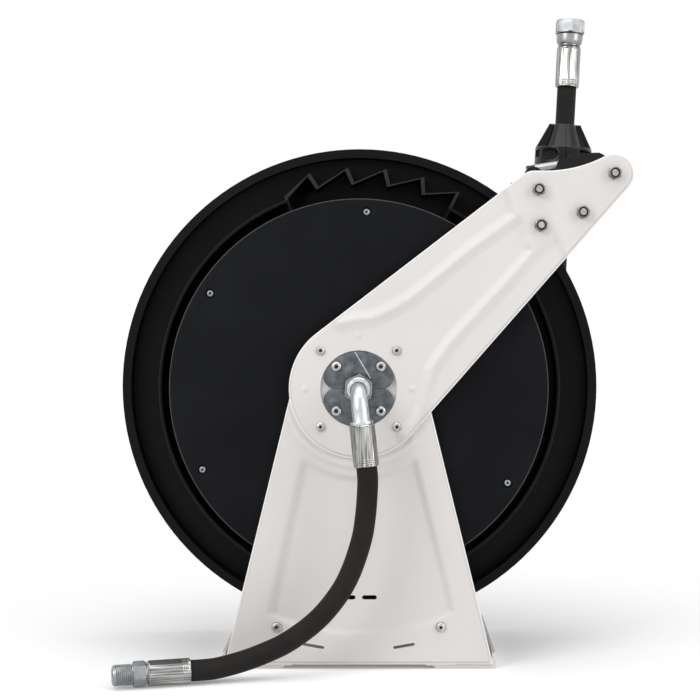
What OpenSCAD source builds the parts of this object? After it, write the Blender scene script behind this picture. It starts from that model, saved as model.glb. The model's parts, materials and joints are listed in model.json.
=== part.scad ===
// Spring-rewind open hose reel with a fixed two-sided frame.
// X to the right seen from the front, Y away from the viewer, Z up.
// The origin lies on the floor, in the middle of the base plate's four mounting holes.

/* [Frame] */
// Height of the drum axis above the floor
hub_h = 282; // [270:1:310]
// Thickness of the steel sheets
sheet = 3; // [2.5:0.5:4]
// Depth of the pressed beads and panels
press = 4; // [3:0.5:5]
// Radius of the round end of each arm at the hub
hub_r = 70; // [67:1:74]
// Radius of the opening in each arm at the hub
hub_hole_r = 38.5; // [36:0.5:41]
// Bolt circle of the screws that join arm, pedestal and hub carrier
hub_pcd = 108; // [104:1:114]
// Running gap between the drum and the sheets at the front
front_gap = 3; // [2.5:0.5:6]
// Running gap between the drum and the sheets at the rear
rear_gap = 6; // [5:0.5:10]

/* [Arm] */
// Distance of the arm's tip to the right of the drum axis
tip_x = 255.8; // [250:0.1:262]
// Height of the arm's tip above the drum axis
tip_z = 215.6; // [211:0.1:217]
// Radius of the arm's tip
tip_r = 19.8; // [18:0.1:22]
// Slope of the arm's upper edge in degrees
arm_slope = 37.5; // [36.5:0.1:38.5]
// Height of the arm's flat top edge above the drum axis
arm_top = 218.4; // [217:0.1:221]
// Radius of the hollow in the arm's top edge
hollow_r = 125; // [110:1:140]

/* [Pedestal and base] */
// Half width of each pedestal at the height of the drum axis
ped_half = 67.2; // [65:0.1:69]
// Slope of the pedestal's sides, sideways per height
ped_flare = 0.245; // [0.22:0.005:0.26]
// Half width of the base plate
base_half = 138; // [134:1:146]
// Height of the raised middle of the base plate above the floor
foot_h = 5; // [4:0.5:8]
// Thickness of the base plate
base_t = 4; // [3:0.5:6]
// Distance between the mounting holes across the reel
mount_x = 212; // [204:1:220]
// Distance between the mounting holes from front to rear
mount_y = 150; // [130:1:170]
// Diameter of the mounting holes
mount_d = 11; // [9:0.5:13]

/* [Drum] */
// Radius of the drum flanges
rim_r = 248; // [244:1:254]
// Width of the flat lip round the front flange
lip_w = 9; // [7:0.5:12]
// Depth of the spring case from its cover to the front flange
case_d = 72; // [68:1:80]
// Radius of the spring case cover
cover_r = 192; // [186:1:195]
// Radius of the smooth part of the ratchet ring
ring_r = 208; // [205:1:210]
// Thickness of the moulded flanges
flange_t = 4; // [3:0.5:5]
// Radius of the drum core
core_r = 158; // [150:1:162]

/* [Ratchet] */
// Teeth in each of the two toothed stretches
teeth = 5; // [3:1:7]
// Angle from tooth to tooth in degrees
tooth_pitch = 10.1; // [9.5:0.1:10.5]
// Radius at the tooth tips
tooth_tip_r = 227.5; // [225:0.5:229]
// Radius at the foot of the teeth
tooth_foot_r = 212; // [210.5:0.5:215]
// Height of the ratchet ring and its teeth above the flange
ring_h = 34; // [28:1:38]

/* [Hose] */
// Outside diameter of the hose
hose_d = 20.5; // [19:0.5:22]
// Turns of hose that lie side by side
wraps = 5; // [4:1:6]
// Gap between one turn of hose and the next
wrap_gap = 0.3; // [0.3:0.1:1]
// Lean of the hose to the right where it leaves the drum, in degrees
lean = 3.15; // [2:0.05:4.5]

/* [Guide] */
// Radius of the long guide rollers
roller_r = 12.5; // [11:0.5:13]
// Radius of the short cross rollers
cross_r = 6.5; // [5.5:0.5:7]
// Free space between the hose and each guide roller
roller_play = 1.25; // [0.5:0.25:2]
// Thickness of the moulded guide cheeks
cheek_t = 10; // [9:0.5:12]
// Width across flats of the nuts on the arm
nut_af = 12; // [12:0.5:13]

/* [Axle] */
// Diameter of the fixed axle
axle_d = 30; // [28:1:32]
// Radial running clearance of the drum's bushes
run_gap = 0.05; // [0.03:0.01:0.09]
// Width across flats of the axle's hexagonal front end
axle_af = 27; // [24:0.5:28]
// Turns of the flat mainspring
spring_turns = 8; // [5:1:10]

/* [Hidden] */
$fn = 96;
eps = 0.01;
seat_gap = 0.3;
fit = 0.02;
screw_clear = 0.3;
tangent_step = 0.04;

// Stack of the reel from the front face of the front arm towards the rear.
d_floor = press;                       // face of the arm's pressed-in floor
d_ped = press + sheet;                 // front face of the pedestal
d_back = d_ped + sheet;                // back face of the pedestal
d_panel = d_back + press;              // back face of the pedestal's pressed-in panel
d_cover = d_panel + front_gap;         // front face of the spring case cover
d_flange = d_cover + case_d;           // front face of the front flange
d_wind = d_flange + flange_t;          // where the winding space starts
wrap_pitch = hose_d + wrap_gap;
wind_w = wraps * wrap_pitch + 2 * wrap_gap;
d_rear = d_wind + wind_w;              // where the winding space ends
d_outer = d_rear + flange_t;           // outer face of the rear flange
depth = d_outer + rear_gap + press + 2 * sheet + d_floor;
y_front = -depth / 2;

// Arm outline, seen from the front with the drum axis at 0, 0
tip = [tip_x, tip_z];
corner_r = 17;
arm_n = [-sin(arm_slope), cos(arm_slope)];
corner_z = arm_top - corner_r;
corner_x = (cos(arm_slope) * corner_z - (hub_r - corner_r)) / sin(arm_slope);
hollow_z = arm_top + hollow_r;
hollow_x = tip_x - sqrt(pow(hollow_r + tip_r, 2) - pow(hollow_z - tip_z, 2));
tip_in = tip + tip_r * unit([hollow_x, hollow_z] - tip);
low_slope = atan2(tip_z, tip_x) + asin((hub_r - tip_r) / norm(tip));
low_n = [sin(low_slope), -cos(low_slope)];
// Middle lines of the two pressed ridges
ridge_a = [[-18, 66], [-3, 69.5], [14, 71], [30, 78], [52, 90.5], [111.4, 139], [147.4, 165.2], [178, 188]];
ridge_b = [[46, -47], [57, -33], [63.5, -19], [66.8, -3], [72.5, 18.4], [93.4, 48.2], [122.2, 78.8], [147.4, 105.8],
    [174.4, 136], [203, 166]];
ridge_w = 5.5;
// The flat tip of the arm starts at these points, from the upper edge to the lower one
tip_edge = [[140, 212], [152, 196], [156, 186], [158, 177], [163, 176], [170, 168], [173, 157], [173, 146],
    [177, 140], [196, 159], [204, 150], [211, 134], [216, 120]];
tip_run = 5;
nuts = [[180.1, 199.5], [182.2, 163.6], [224.1, 176.7], tip];
bolt_r = 4;
bolt_head_r = 7.5;
bolt_head_h = 5.3;
bolt_end = -9;
nut_h = 7;
nut_turn = 15;

// Hub
hub_screw_r = 2.5;
hub_head_r = 4.75;
ped_head_r = 5.2;
retainer_pcd = 63;
retainer_r = hub_hole_r - 1;
retainer_corner = 11;
hex_turn = 25;
retainer_t = 4;
retainer_screw_r = 3;
retainer_head_r = 5.25;
axle_r = axle_d / 2;
axle_play = 0.5;
carrier_r = hub_pcd / 2 + 8;
carrier_t = 5;
boss_r = axle_r + 12;
dimple_r = 53.9;
dimple_w = 3.2;
dimple_h = 1.2;

// Pedestal
flare = atan(ped_flare);
ped_r = ped_half * cos(flare);
ped_foot_z = foot_h - hub_h;
ped_foot = ped_half - ped_flare * ped_foot_z;
bead_in = hub_r + 3;
bead_out = hub_r + 11;
bead_h = 2;
panel_arc = hub_r + 17;
panel_low = 230;
panel_step = 19;
panel_drop = 248.5;
// Edge of the pressed panel
panel = [[-59.6, -65.2], [-95, -228], for (i = [-4:4]) let (x = i * panel_step) [x, panel_low - panel_drop - sqrt(pow(panel_low, 2) - x * x)],
    [99, -227.6], [58.1, -65.2], for (a = [300:-15:240]) polar(panel_arc, a)];
vent_x = 10.75;
vent_z = -210.5;
vent_w = 15;
vent_h = 4.5;
slant_x = 45.5;
slant_z = -258.5;
slant_w = 22;
slant_h = 3;
slant_a = 10;

// Base plate
ear_x = 82.5;
ear_z = -239.5;
ear_r = 5.4;
ear_w = 30;
skid_x = 78;
skid_run = 6;
flange_h = 16;

// Drum
lip_d = 19;
lip_t = 3;
ring_t = 3;
cover_t = 3;
skirt_l = 4;
case_wall = 4;
case_r = cover_r - 2;
d_lip = d_flange - lip_d;
d_ring = d_flange - ring_h;
d_case = d_flange - 4;
cover_hole = boss_r + 4;
cover_screw_n = 6;
cover_screw_c = cover_r - 13.5;
cover_screw_a = 27.5;
cover_pit_r = 4.8;
cover_head_r = 3.8;
post_r = 7;
post_screw_r = 2.5;
flange_screw_n = 8;
flange_screw_a = 12;
flange_screw_c = core_r - 24;
flange_screw_r = 3;
flange_head_r = 6;
hub_in = axle_r + run_gap + 5;
hub_out = hub_in + 6;
bush_l = 24;
core_t = 4;
web_w = 36;
window_c = 82;
window_r = 28;
d_hub_end = d_rear - 10;
rear_hole = hub_out + 6;
rib_n = 2 * flange_screw_n;
rib_h = 3;

// Wound hose: the turns lie side by side, one layer right on the other
under_c = core_r + hose_d * 1.3;
coil_r = under_c + hose_d + 0.6;
lead_wrap = 1;
lead_arc = 305;
lead_rings = 61;
d_lead = wrap_at(lead_wrap);

// Swivel joint between the fixed axle and the drum
swivel_d = (d_hub_end - bush_l + d_case + bush_l) / 2;
swivel_w = 26;
swivel_r = axle_r + 11;
seal_r = 1.3;
seal_c = 9;
groove_r = axle_r - 2.75;
port_r = 5;
bore_r = 7;
outlet_r = 8;
outlet_a = 200;
axle_end = depth - 2;
clip_in = axle_r - 1.5;
clip_out = axle_r + 4;
clip_t = 1.5;

// Mainspring
arbor_r = axle_r + 7;
d_arbor_end = d_case - seat_gap;
d_spring = d_cover + cover_t + 6;
d_spring_end = d_case - 5;
d_boss = d_spring - 1;
spring_in = arbor_r + 1.6;
spring_out = cover_screw_c - post_r;
band_t = 1.2;

// Teeth
zone_start = 111.6;
ramp = tooth_pitch * 0.845;
zone_turn = (teeth - 1) * tooth_pitch + ramp;
wall_turn = 0.8;

// Guide, square to the hose where it leaves the drum
guide_t = 220;
roller_c = hose_d / 2 + roller_play + roller_r;
pin_r = 3;
cross_pin_r = 2.5;
pin_seat = 6;
d_cheek = sheet + cheek_t;
cross_reach = cross_r + 1.5;
cross_d = d_cheek + cross_reach;
cross_tilt = 9.5;
cross_x = 218.3;
cross_z = 226.7;
cross_left = -48.5;
cross_right = 24;
lug_w = 8;
lug_r = 6.5;
cross_l = cross_right - cross_left - 2 * (lug_w + seat_gap);
long_start = cross_d + cross_r + 4;
cheek_lobe = [175.5, 213.2];
cheek_lobe_r = 9.5;
cheek_top = [[246.6, 234], [241.2, 236.8], [232.8, 236.6], [218.3, 234.8], [200.6, 230.1], [196, 217], [177, 217]];

// Stopper and hose end, measured along the hose from where it leaves the drum
stop_t = guide_t + roller_r + seat_gap;
stop_h = 57;
stop_r = 30.5;
stop_low = 27;
stop_top_r = 17;
eye_x = 17.6;
eye_z = 24;
eye_r = 6.2;
eye_y = 20;
rib_x = 4;
rib_top = 21;
clamp_y = 19;
clamp_z = 12;
clamp_r = 2.5;
clamp_head = 15;
ferrule_t = 333;
ferrule_l = 43;
ferrule_r = hose_d / 2 + 2.5;
ferrule_end = 6;
neck_l = 3;
collar_l = 11;
collar_r = 14.2;
nut_t = ferrule_t + ferrule_l + neck_l + collar_l + seat_gap;
nut_l = 14.6;
nut_lip = 3;
end_af = 30;
stem_r = 8;
stem_bore = 6;
stem_flange_r = 9.4;
stem_flange_l = 3;
end_thread_r = 10.3;

// Pawl, its stud and spring
pawl_p = [192.5, 139.9];
pawl_axis_r = 5;
pawl_t = 10;
pawl_hub_r = 9;
d_pawl = d_ring + 1;
pawl_len = 50;
pawl_park = 136;
stud_end = d_pawl + pawl_t + 3;
coil_turns = 4;
coil_pitch = 2.6;
coil_w = 6.6;
wire_r = 0.9;
d_coil = d_pawl - 2.6 - coil_turns * coil_pitch - 2 * wire_r;

// Inlet elbow and hose
elbow_bend = 20;
elbow_r = 8.4;
elbow_lean = 6.3;
elbow_face = -7;
d_bend = elbow_face - 9;
elbow_collar_r = 11;
spigot_l = 12;
collar_s = 30;
ferrule_s = 33.5;
inlet_ferrule_r = 12.4;
inlet_ferrule_l = 41;
fit_dir = 16.4;
fit_af = 22;
fit_ferrule_r = 12.7;
fit_ferrule_l = 40.5;
fit_neck_l = 1.5;
fit_hex_l = 12.6;
fit_thread_l = 19.4;
fit_thread_r = 10.3;
// Route of the inlet hose, from the elbow's ferrule down to the fitting that lies on the floor
route = [[8.2, -146.8, 207.95], [9.4, -146.8, 196], [8.9, -146.8, 180], [7.2, -146.9, 159.5], [3.3, -147, 136],
    [-7.1, -147.1, 105], [-20.1, -147.2, 81.5], [-40, -147.5, 58.2], [-66.4, -148.2, 38.3], [-89.7, -149.8, 27],
    [-112.8, -153, 19], [-135.5, -158.4, 14], [-149.5, -162.2, 13], [-162, -165.8, 13]];
route_steps = 2;
hose_sides = 12;

// ---- Placing ----

// A flat shape drawn in X and Z round the drum axis, from depth d0 to depth d1.
module slab(d0, d1) {
    translate([0, y_front + d1, hub_h]) rotate([90, 0, 0]) linear_extrude(d1 - d0) children();
}

// A turned shape round the drum axis, from a profile of radius and depth.
module turned(angle = 360, start = 0) {
    translate([0, y_front, hub_h]) rotate([-90, 0, 0]) rotate([0, 0, -start - angle])
        rotate_extrude(angle = angle, $fn = 180) children();
}

// A round rod along Y.
module rod(p, d0, d1, r) {
    translate([p.x, y_front + d0, hub_h + p.y]) rotate([-90, 0, 0]) cylinder(h = d1 - d0, r = r);
}

// A hexagonal rod along Y, given its width across flats.
module hex_rod(p, d0, d1, af, turn = 0) {
    translate([p.x, y_front + d0, hub_h + p.y]) rotate([-90, 0, 0]) rotate([0, 0, turn])
        cylinder(h = d1 - d0, r = af / 2 / cos(30), $fn = 6);
}

module rear() {
    mirror([0, 1, 0]) children();
}

// Local Z runs along the hose, from the point where it leaves the coil.
module along_hose(t) {
    translate([coil_r * cos(lean), y_front + d_lead, hub_h - coil_r * sin(lean)]) rotate([0, lean, 0])
        translate([0, 0, t]) children();
}

// Local X runs along the axis of the front cross roller.
module along_cross() {
    translate([cross_x, y_front + cross_d, hub_h + cross_z]) rotate([0, -cross_tilt, 0]) children();
}

function unit(v) = v / norm(v);
function turn_left(v) = [-v.y, v.x];
function polar(r, a) = [r * cos(a), r * sin(a)];
function wrap_at(i) = d_wind + wrap_gap + wrap_pitch * (i + 0.5);
function cover_screw_at(i) = polar(cover_screw_c, cover_screw_a + i * 360 / cover_screw_n);
function flange_screw_at(i) = polar(flange_screw_c, i * 360 / flange_screw_n + flange_screw_a);

// Centre of a long guide roller, s = -1 left and 1 right.
function roller_at(s) = coil_r * [cos(lean), -sin(lean)] + guide_t * [sin(lean), cos(lean)]
    + s * roller_c * [cos(lean), -sin(lean)];

// Corner shift for a line that turns from direction a to direction b.
function mitre(a, b) = (turn_left(a) + turn_left(b)) / (1 + a * b);

// A closed outline drawn counter-clockwise, moved in by w.
function inset(p, w) = [for (i = [0:len(p) - 1]) let (n = len(p))
    p[i] + w * mitre(unit(p[i] - p[(i + n - 1) % n]), unit(p[(i + 1) % n] - p[i]))];

// An open line widened to a band of half width w.
function band_side(p, w) = [for (i = [0:len(p) - 1]) let (a = unit(p[max(i, 1)] - p[max(i, 1) - 1]),
    b = unit(p[min(i + 1, len(p) - 1)] - p[min(i, len(p) - 2)])) p[i] + w * mitre(a, b)];
function strip(p, w) = let (left = band_side(p, w)) concat(band_side(p, -w), [for (i = [len(p) - 1:-1:0]) left[i]]);

// An open line whose first end is cut back by a.
function cut(p, a) = [for (i = [0:len(p) - 1]) i == 0 ? p[0] + a * unit(p[1] - p[0]) : p[i]];

// Outline of the flat tip, moved back towards the hub by run.
function tip_loop(run) = concat([for (p = tip_edge) p - polar(run, 40)], [[290, 130], [290, 250], [160, 250]]);

// ---- Frame ----

module arm_outline() {
    circle(r = hub_r - tangent_step, $fn = 180);
    translate(tip) circle(r = tip_r - tangent_step);
    translate([corner_x, corner_z]) circle(r = corner_r - tangent_step);
    difference() {
        polygon([hub_r * arm_n, hub_r * low_n, tip + tip_r * low_n, tip, tip_in,
            [hollow_x, arm_top], [corner_x, arm_top], [corner_x, corner_z], [corner_x, corner_z] + corner_r * arm_n]);
        translate([hollow_x, hollow_z]) circle(r = hollow_r + 2 * tangent_step, $fn = 360);
    }
}

// The pressed ridges and the flat tip; wall narrows them to the hollow on their rear side.
module raised(wall) {
    for (path = [ridge_a, ridge_b]) polygon(strip(cut(path, wall), ridge_w - wall));
    polygon(tip_loop(tip_run - wall));
}

module arm() {
    difference() {
        union() {
            slab(d_floor, d_ped) arm_outline();
            slab(0, d_floor) intersection() {
                arm_outline();
                raised(0);
            }
        }
        slab(sheet, d_ped + 1) raised(sheet);
        rod([0, 0], -1, d_ped + 1, hub_hole_r);
        for (a = [45:90:315]) rod(polar(hub_pcd / 2, a), -1, d_ped + 1, hub_screw_r + screw_clear);
        for (p = nuts) rod(p, -1, d_ped + 1, bolt_r + screw_clear);
    }
    for (a = [0:90:270]) rod(polar(dimple_r, a), d_floor - dimple_h, d_floor + 1, dimple_w);
}

module front_arm() {
    color("whitesmoke") arm();
}

module rear_arm() {
    color("whitesmoke") rear() arm();
}

module slot(p, w, h, turn, d0, d1) {
    slab(d0, d1) translate(p) rotate(turn) {
        square([w - h, h], center = true);
        for (s = [-1, 1]) translate([s * (w - h) / 2, 0]) circle(r = h / 2);
    }
}

module pedestal_outline() {
    circle(r = ped_r - tangent_step, $fn = 180);
    polygon([polar(ped_r, 180 - flare), [-ped_foot, ped_foot_z], [ped_foot, ped_foot_z], polar(ped_r, flare)]);
}

module pedestal() {
    difference() {
        union() {
            slab(d_ped, d_back) pedestal_outline();
            slab(d_back - 1, d_panel) polygon(panel);
            slab(d_ped - bead_h, d_ped) intersection() {
                pedestal_outline();
                difference() {
                    polygon([[0, 0], for (a = [190:16:318]) polar(bead_out * 2, a)]);
                    circle(r = bead_in, $fn = 180);
                    difference() {
                        circle(r = bead_out * 3);
                        circle(r = bead_out, $fn = 180);
                    }
                }
            }
        }
        slab(d_ped - bead_h - 1, d_panel - sheet) polygon(inset(panel, sheet));
        rod([0, 0], d_ped - 1, d_panel + 1, axle_r + axle_play);
        for (a = [45:90:315]) {
            rod(polar(hub_pcd / 2, a), d_ped - 1, d_back + 1, hub_screw_r + screw_clear);
            rod(polar(retainer_pcd / 2, a), d_ped - 1, d_back + 1, retainer_screw_r + screw_clear);
        }
        for (s = [-1, 1]) {
            slot([s * vent_x, vent_z], vent_w, vent_h, 0, d_ped - 1, d_panel + 1);
            slot([s * slant_x, slant_z], slant_w, slant_h, s * slant_a, d_ped - 1, d_back + 1);
            rod([s * ear_x, ear_z], d_ped - 1, d_back + 1, hub_screw_r + screw_clear);
        }
    }
}

module front_pedestal() {
    color("whitesmoke") pedestal();
}

module rear_pedestal() {
    color("whitesmoke") rear() pedestal();
}

module base_plate() {
    color("whitesmoke") difference() {
        union() {
            slab(d_back, depth - d_back) translate([0, -hub_h]) for (s = [0, 1]) mirror([s, 0]) polygon([[-eps, foot_h],
                [skid_x - skid_run, foot_h], [skid_x, 0], [base_half, 0], [base_half, flange_h],
                [base_half - base_t, flange_h], [base_half - base_t, base_t], [skid_x + 2, base_t],
                [skid_x - skid_run + 2, foot_h + base_t], [-eps, foot_h + base_t]]);
            for (d = [d_back, depth - d_back - sheet]) slab(d, d + sheet) for (s = [-1, 1]) {
                translate([s * ear_x, ear_z]) circle(r = ear_r);
                translate([s * ear_x, (ear_z - hub_h + 1) / 2]) square([2 * ear_r, ear_z + hub_h - 1], center = true);
                translate([s * ear_x, base_t - hub_h + 6]) square([ear_w, 14], center = true);
            }
        }
        for (s = [-1, 1]) {
            rod([s * ear_x, ear_z], d_back - 1, depth - d_back + 1, hub_screw_r + fit);
            for (y = [-1, 1]) translate([s * mount_x / 2, y * mount_y / 2, -1]) cylinder(h = base_t + 2, r = mount_d / 2);
        }
    }
}

// A button-head screw with a hexagonal socket; its head stands on depth d.
module screw(p, d, d_end, r, head_r, head_h) {
    difference() {
        union() {
            rod(p, d - head_h, d, head_r);
            rod(p, d - eps, d_end, r);
        }
        hex_rod(p, d - head_h - 1, d - head_h * 0.35, r * 1.2);
    }
}

module pedestal_screws() {
    color("silver") for (m = [0, 1]) mirror([0, m, 0]) for (s = [-1, 1])
        screw([s * ear_x, ear_z], d_ped, d_back + sheet, hub_screw_r, ped_head_r, 3.3);
}

// ---- Hub ----

module carrier(boss_end) {
    difference() {
        union() {
            rod([0, 0], d_back, d_back + carrier_t, carrier_r);
            rod([0, 0], d_back + carrier_t - eps, boss_end, boss_r);
        }
        rod([0, 0], d_back - 1, boss_end + 1, axle_r + fit);
        for (a = [45:90:315]) {
            rod(polar(hub_pcd / 2, a), d_back - 1, d_back + carrier_t + 1, hub_screw_r + fit);
            rod(polar(retainer_pcd / 2, a), d_back - 1, d_back + carrier_t + 1, retainer_screw_r + fit);
        }
    }
}

module front_hub_carrier() {
    color("dimgray") carrier(d_boss);
}

module rear_hub_carrier() {
    color("dimgray") rear() carrier(depth - d_hub_end - seat_gap);
}

module hub_screws() {
    color("silver") for (m = [0, 1]) mirror([0, m, 0]) for (a = [45:90:315])
        screw(polar(hub_pcd / 2, a), d_floor, d_back + carrier_t, hub_screw_r, hub_head_r, 2.7);
}

// Half of a round plate, with its two corners at the split rounded off.
module retainer_outline() {
    corner_z = retainer_corner + seat_gap / 2;
    corner_x = sqrt(pow(retainer_r - retainer_corner, 2) - pow(corner_z, 2));
    corner_a = atan2(corner_z, corner_x);
    intersection() {
        circle(r = retainer_r);
        union() {
            polygon([[0, 0], polar(2 * retainer_r, corner_a), [0, 4 * retainer_r], polar(2 * retainer_r, 180 - corner_a)]);
            translate([-corner_x, seat_gap / 2]) square([2 * corner_x, retainer_corner]);
            for (s = [-1, 1]) translate([s * corner_x, corner_z]) circle(r = retainer_corner - tangent_step);
        }
        translate([-retainer_r, seat_gap / 2]) square([2 * retainer_r, retainer_r]);
    }
}

module retainer(s) {
    slab(d_ped - retainer_t, d_ped) difference() {
        mirror([0, (1 - s) / 2]) retainer_outline();
        rotate(hex_turn) circle(r = (axle_af / 2 + fit) / cos(30), $fn = 6);
        for (a = [45:90:315]) translate(polar(retainer_pcd / 2, a)) circle(r = retainer_screw_r + screw_clear);
    }
}

module upper_retainer_plate() {
    color("lightsteelblue") retainer(1);
}

module lower_retainer_plate() {
    color("lightsteelblue") retainer(-1);
}

module retainer_screws() {
    color("silver") for (a = [45:90:315])
        screw(polar(retainer_pcd / 2, a), d_ped - retainer_t, d_back + carrier_t, retainer_screw_r, retainer_head_r, 3);
}

module axle() {
    color("gray") difference() {
        union() {
            hex_rod([0, 0], elbow_face, d_ped + eps, axle_af, -hex_turn);
            rod([0, 0], d_ped, axle_end, axle_r);
        }
        rod([0, 0], elbow_face - 1, swivel_d + port_r, bore_r);
        for (a = [0, 90]) slab_pin(a, swivel_d, axle_r + 1, port_r);
        for (s = [-1, 1]) turned() translate([groove_r, swivel_d + s * seal_c - seal_r - 0.2])
            square([axle_r, 2 * seal_r + 0.4]);
        turned() translate([clip_in, depth - d_ped]) square([axle_r, clip_t]);
    }
}

// A round rod across the drum axis, at angle a and depth d.
module slab_pin(a, d, reach, r) {
    translate([0, y_front + d, hub_h]) rotate([0, -a, 0]) translate([-reach, 0, 0]) rotate([0, 90, 0])
        cylinder(h = 2 * reach, r = r);
}

module axle_circlip() {
    color("dimgray") difference() {
        rod([0, 0], depth - d_ped, depth - d_ped + clip_t - fit, clip_out);
        rod([0, 0], depth - d_ped - 1, depth, clip_in + fit);
        slab(depth - d_ped - 1, depth) translate([0, -clip_out]) square([clip_in, 2 * clip_out - 4], center = true);
    }
}

module axle_seals() {
    color("black") for (s = [-1, 1]) turned() translate([groove_r + seal_r + 0.05, swivel_d + s * seal_c])
        circle(r = seal_r, $fn = 24);
}

module spring_arbor() {
    color("dimgray") difference() {
        rod([0, 0], d_boss, d_arbor_end, arbor_r);
        rod([0, 0], d_boss - 1, d_arbor_end + 1, axle_r + fit);
        slab(d_spring, d_spring_end) translate([0, arbor_r - 2]) square([3, 8], center = true);
    }
}

// ---- Inlet ----

// Local -Z runs down the leaning leg of the elbow.
module along_elbow() {
    translate([0, y_front + d_bend, hub_h]) rotate([0, -elbow_lean, 0]) children();
}

module elbow_tube(r, low) {
    rod([0, 0], d_bend - eps, elbow_face, r);
    along_elbow() {
        translate([0, 0, -elbow_bend]) rotate([0, 90, 0]) rotate([0, 0, 180])
            rotate_extrude(angle = 90, $fn = 96) translate([elbow_bend, 0]) circle(r = r, $fn = 48);
        translate([0, -elbow_bend, -low]) cylinder(h = low - elbow_bend + eps, r = r);
    }
}

module inlet_elbow() {
    color("silver") difference() {
        union() {
            elbow_tube(elbow_r, ferrule_s);
            rod([0, 0], elbow_face - 2, elbow_face, elbow_collar_r);
            rod([0, 0], elbow_face - eps, elbow_face + spigot_l, bore_r - fit);
            along_elbow() {
                translate([0, -elbow_bend, -ferrule_s]) cylinder(h = ferrule_s - collar_s, r = elbow_collar_r);
                translate([0, -elbow_bend, -ferrule_s - inlet_ferrule_l + 2]) cylinder(h = inlet_ferrule_l, r = stem_r);
            }
        }
        rod([0, 0], elbow_face - 1, elbow_face + spigot_l + 1, stem_bore);
        elbow_tube(stem_bore, ferrule_s + inlet_ferrule_l);
    }
}

module elbow_ferrule() {
    color("silver") along_elbow() translate([0, -elbow_bend, -ferrule_s - inlet_ferrule_l]) difference() {
        cylinder(h = inlet_ferrule_l, r = inlet_ferrule_r);
        translate([0, 0, -1]) cylinder(h = inlet_ferrule_l + 2, r = stem_r + fit);
    }
}

// A round tube swept along points that never run parallel to Y.
module sweep(path, r, sides) {
    n = len(path);
    tan = [for (i = [0:n - 1]) unit(path[min(i + 1, n - 1)] - path[max(i - 1, 0)])];
    polyhedron(
        points = [for (i = [0:n - 1]) let (u = unit(cross([0, 1, 0], tan[i])), v = cross(tan[i], u))
            for (k = [0:sides - 1]) path[i] + r * (u * cos(k * 360 / sides) + v * sin(k * 360 / sides))],
        faces = concat([[for (k = [0:sides - 1]) k]], [[for (k = [sides - 1:-1:0]) (n - 1) * sides + k]],
            [for (i = [0:n - 2]) for (k = [0:sides - 1]) let (j = (k + 1) % sides, a = i * sides, b = a + sides)
                each [[a + k, b + k, b + j], [a + k, b + j, a + j]]]));
}

// Smooth curve through points, with steps pieces between each two of them.
function curve(p, steps) = concat(
    [for (i = [0:len(p) - 2]) for (s = [0:steps - 1]) let (u = s / steps, a = p[max(i - 1, 0)], b = p[i], c = p[i + 1],
        d = p[min(i + 2, len(p) - 1)])
        0.5 * (2 * b + (c - a) * u + (2 * a - 5 * b + 4 * c - d) * u * u + (3 * b - a - 3 * c + d) * u * u * u)],
    [p[len(p) - 1]]);

module inlet_hose() {
    color("#2b2624") sweep(curve(route, route_steps), hose_d / 2, hose_sides);
}

// Local Z runs out along the fitting, from the end of the inlet hose.
module along_fitting(t) {
    translate(route[len(route) - 1]) rotate([0, 0, 180 + fit_dir]) rotate([0, 90, 0]) translate([0, 0, t]) children();
}

module inlet_hose_ferrule() {
    color("silver") along_fitting(0) difference() {
        cylinder(h = fit_ferrule_l, r = fit_ferrule_r);
        translate([0, 0, -1]) cylinder(h = fit_ferrule_l + 2, r = stem_r + fit);
    }
}

module inlet_fitting() {
    color("silver") along_fitting(0) difference() {
        union() {
            translate([0, 0, 2]) cylinder(h = fit_ferrule_l, r = stem_r);
            translate([0, 0, fit_ferrule_l]) cylinder(h = fit_neck_l + 1, r = stem_r + 1.5);
            translate([0, 0, fit_ferrule_l + fit_neck_l]) rotate(30)
                cylinder(h = fit_hex_l, r = fit_af / 2 / cos(30), $fn = 6);
            translate([0, 0, fit_ferrule_l + fit_neck_l + fit_hex_l - eps])
                cylinder(h = fit_thread_l, r = fit_thread_r);
        }
        translate([0, 0, -1]) cylinder(h = fit_ferrule_l + fit_neck_l + fit_hex_l + fit_thread_l + 2, r = stem_bore);
    }
}

// ---- Hose guide ----

module cheek_outline() {
    for (p = [nuts[0], nuts[1], nuts[2], cheek_lobe]) translate(p) circle(r = cheek_lobe_r);
    translate(tip) circle(r = tip_r - 3);
    polygon(strip([nuts[0], nuts[1]], cheek_lobe_r));
    polygon(strip([nuts[1], nuts[2]], cheek_lobe_r));
    polygon(strip([nuts[0], cheek_lobe], cheek_lobe_r));
    polygon(concat([nuts[0], nuts[1], nuts[2] + [5, -8], tip + [6, -15.5], tip], cheek_top));
}

module cheek() {
    difference() {
        union() {
            slab(sheet, d_cheek) cheek_outline();
            along_cross() for (u = [cross_left, cross_right - lug_w]) translate([u, 0, 0]) {
                rotate([0, 90, 0]) cylinder(h = lug_w, r = lug_r);
                translate([0, -cross_reach - 1, -lug_r]) cube([lug_w, cross_reach + 1, 2 * lug_r - 3]);
            }
        }
        for (p = nuts) {
            rod(p, sheet - 1, d_cheek + 1, bolt_r + screw_clear);
            rod(p, d_cheek - bolt_head_h, d_cheek + 1, bolt_head_r + screw_clear);
        }
        for (s = [-1, 1]) rod(roller_at(s), d_cheek - pin_seat, d_cheek + 1, pin_r + fit);
        along_cross() translate([cross_left - 1, 0, 0]) rotate([0, 90, 0])
            cylinder(h = cross_right - cross_left + 2, r = cross_pin_r + fit);
    }
}

module front_guide_cheek() {
    color("#1c1c1e") cheek();
}

module rear_guide_cheek() {
    color("#1c1c1e") rear() cheek();
}

module guide_bolts() {
    color("silver") for (m = [0, 1]) mirror([0, m, 0]) for (p = nuts) {
        rod(p, d_cheek - bolt_head_h, d_cheek, bolt_head_r);
        rod(p, bolt_end, d_cheek - bolt_head_h + eps, bolt_r);
    }
}

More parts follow.
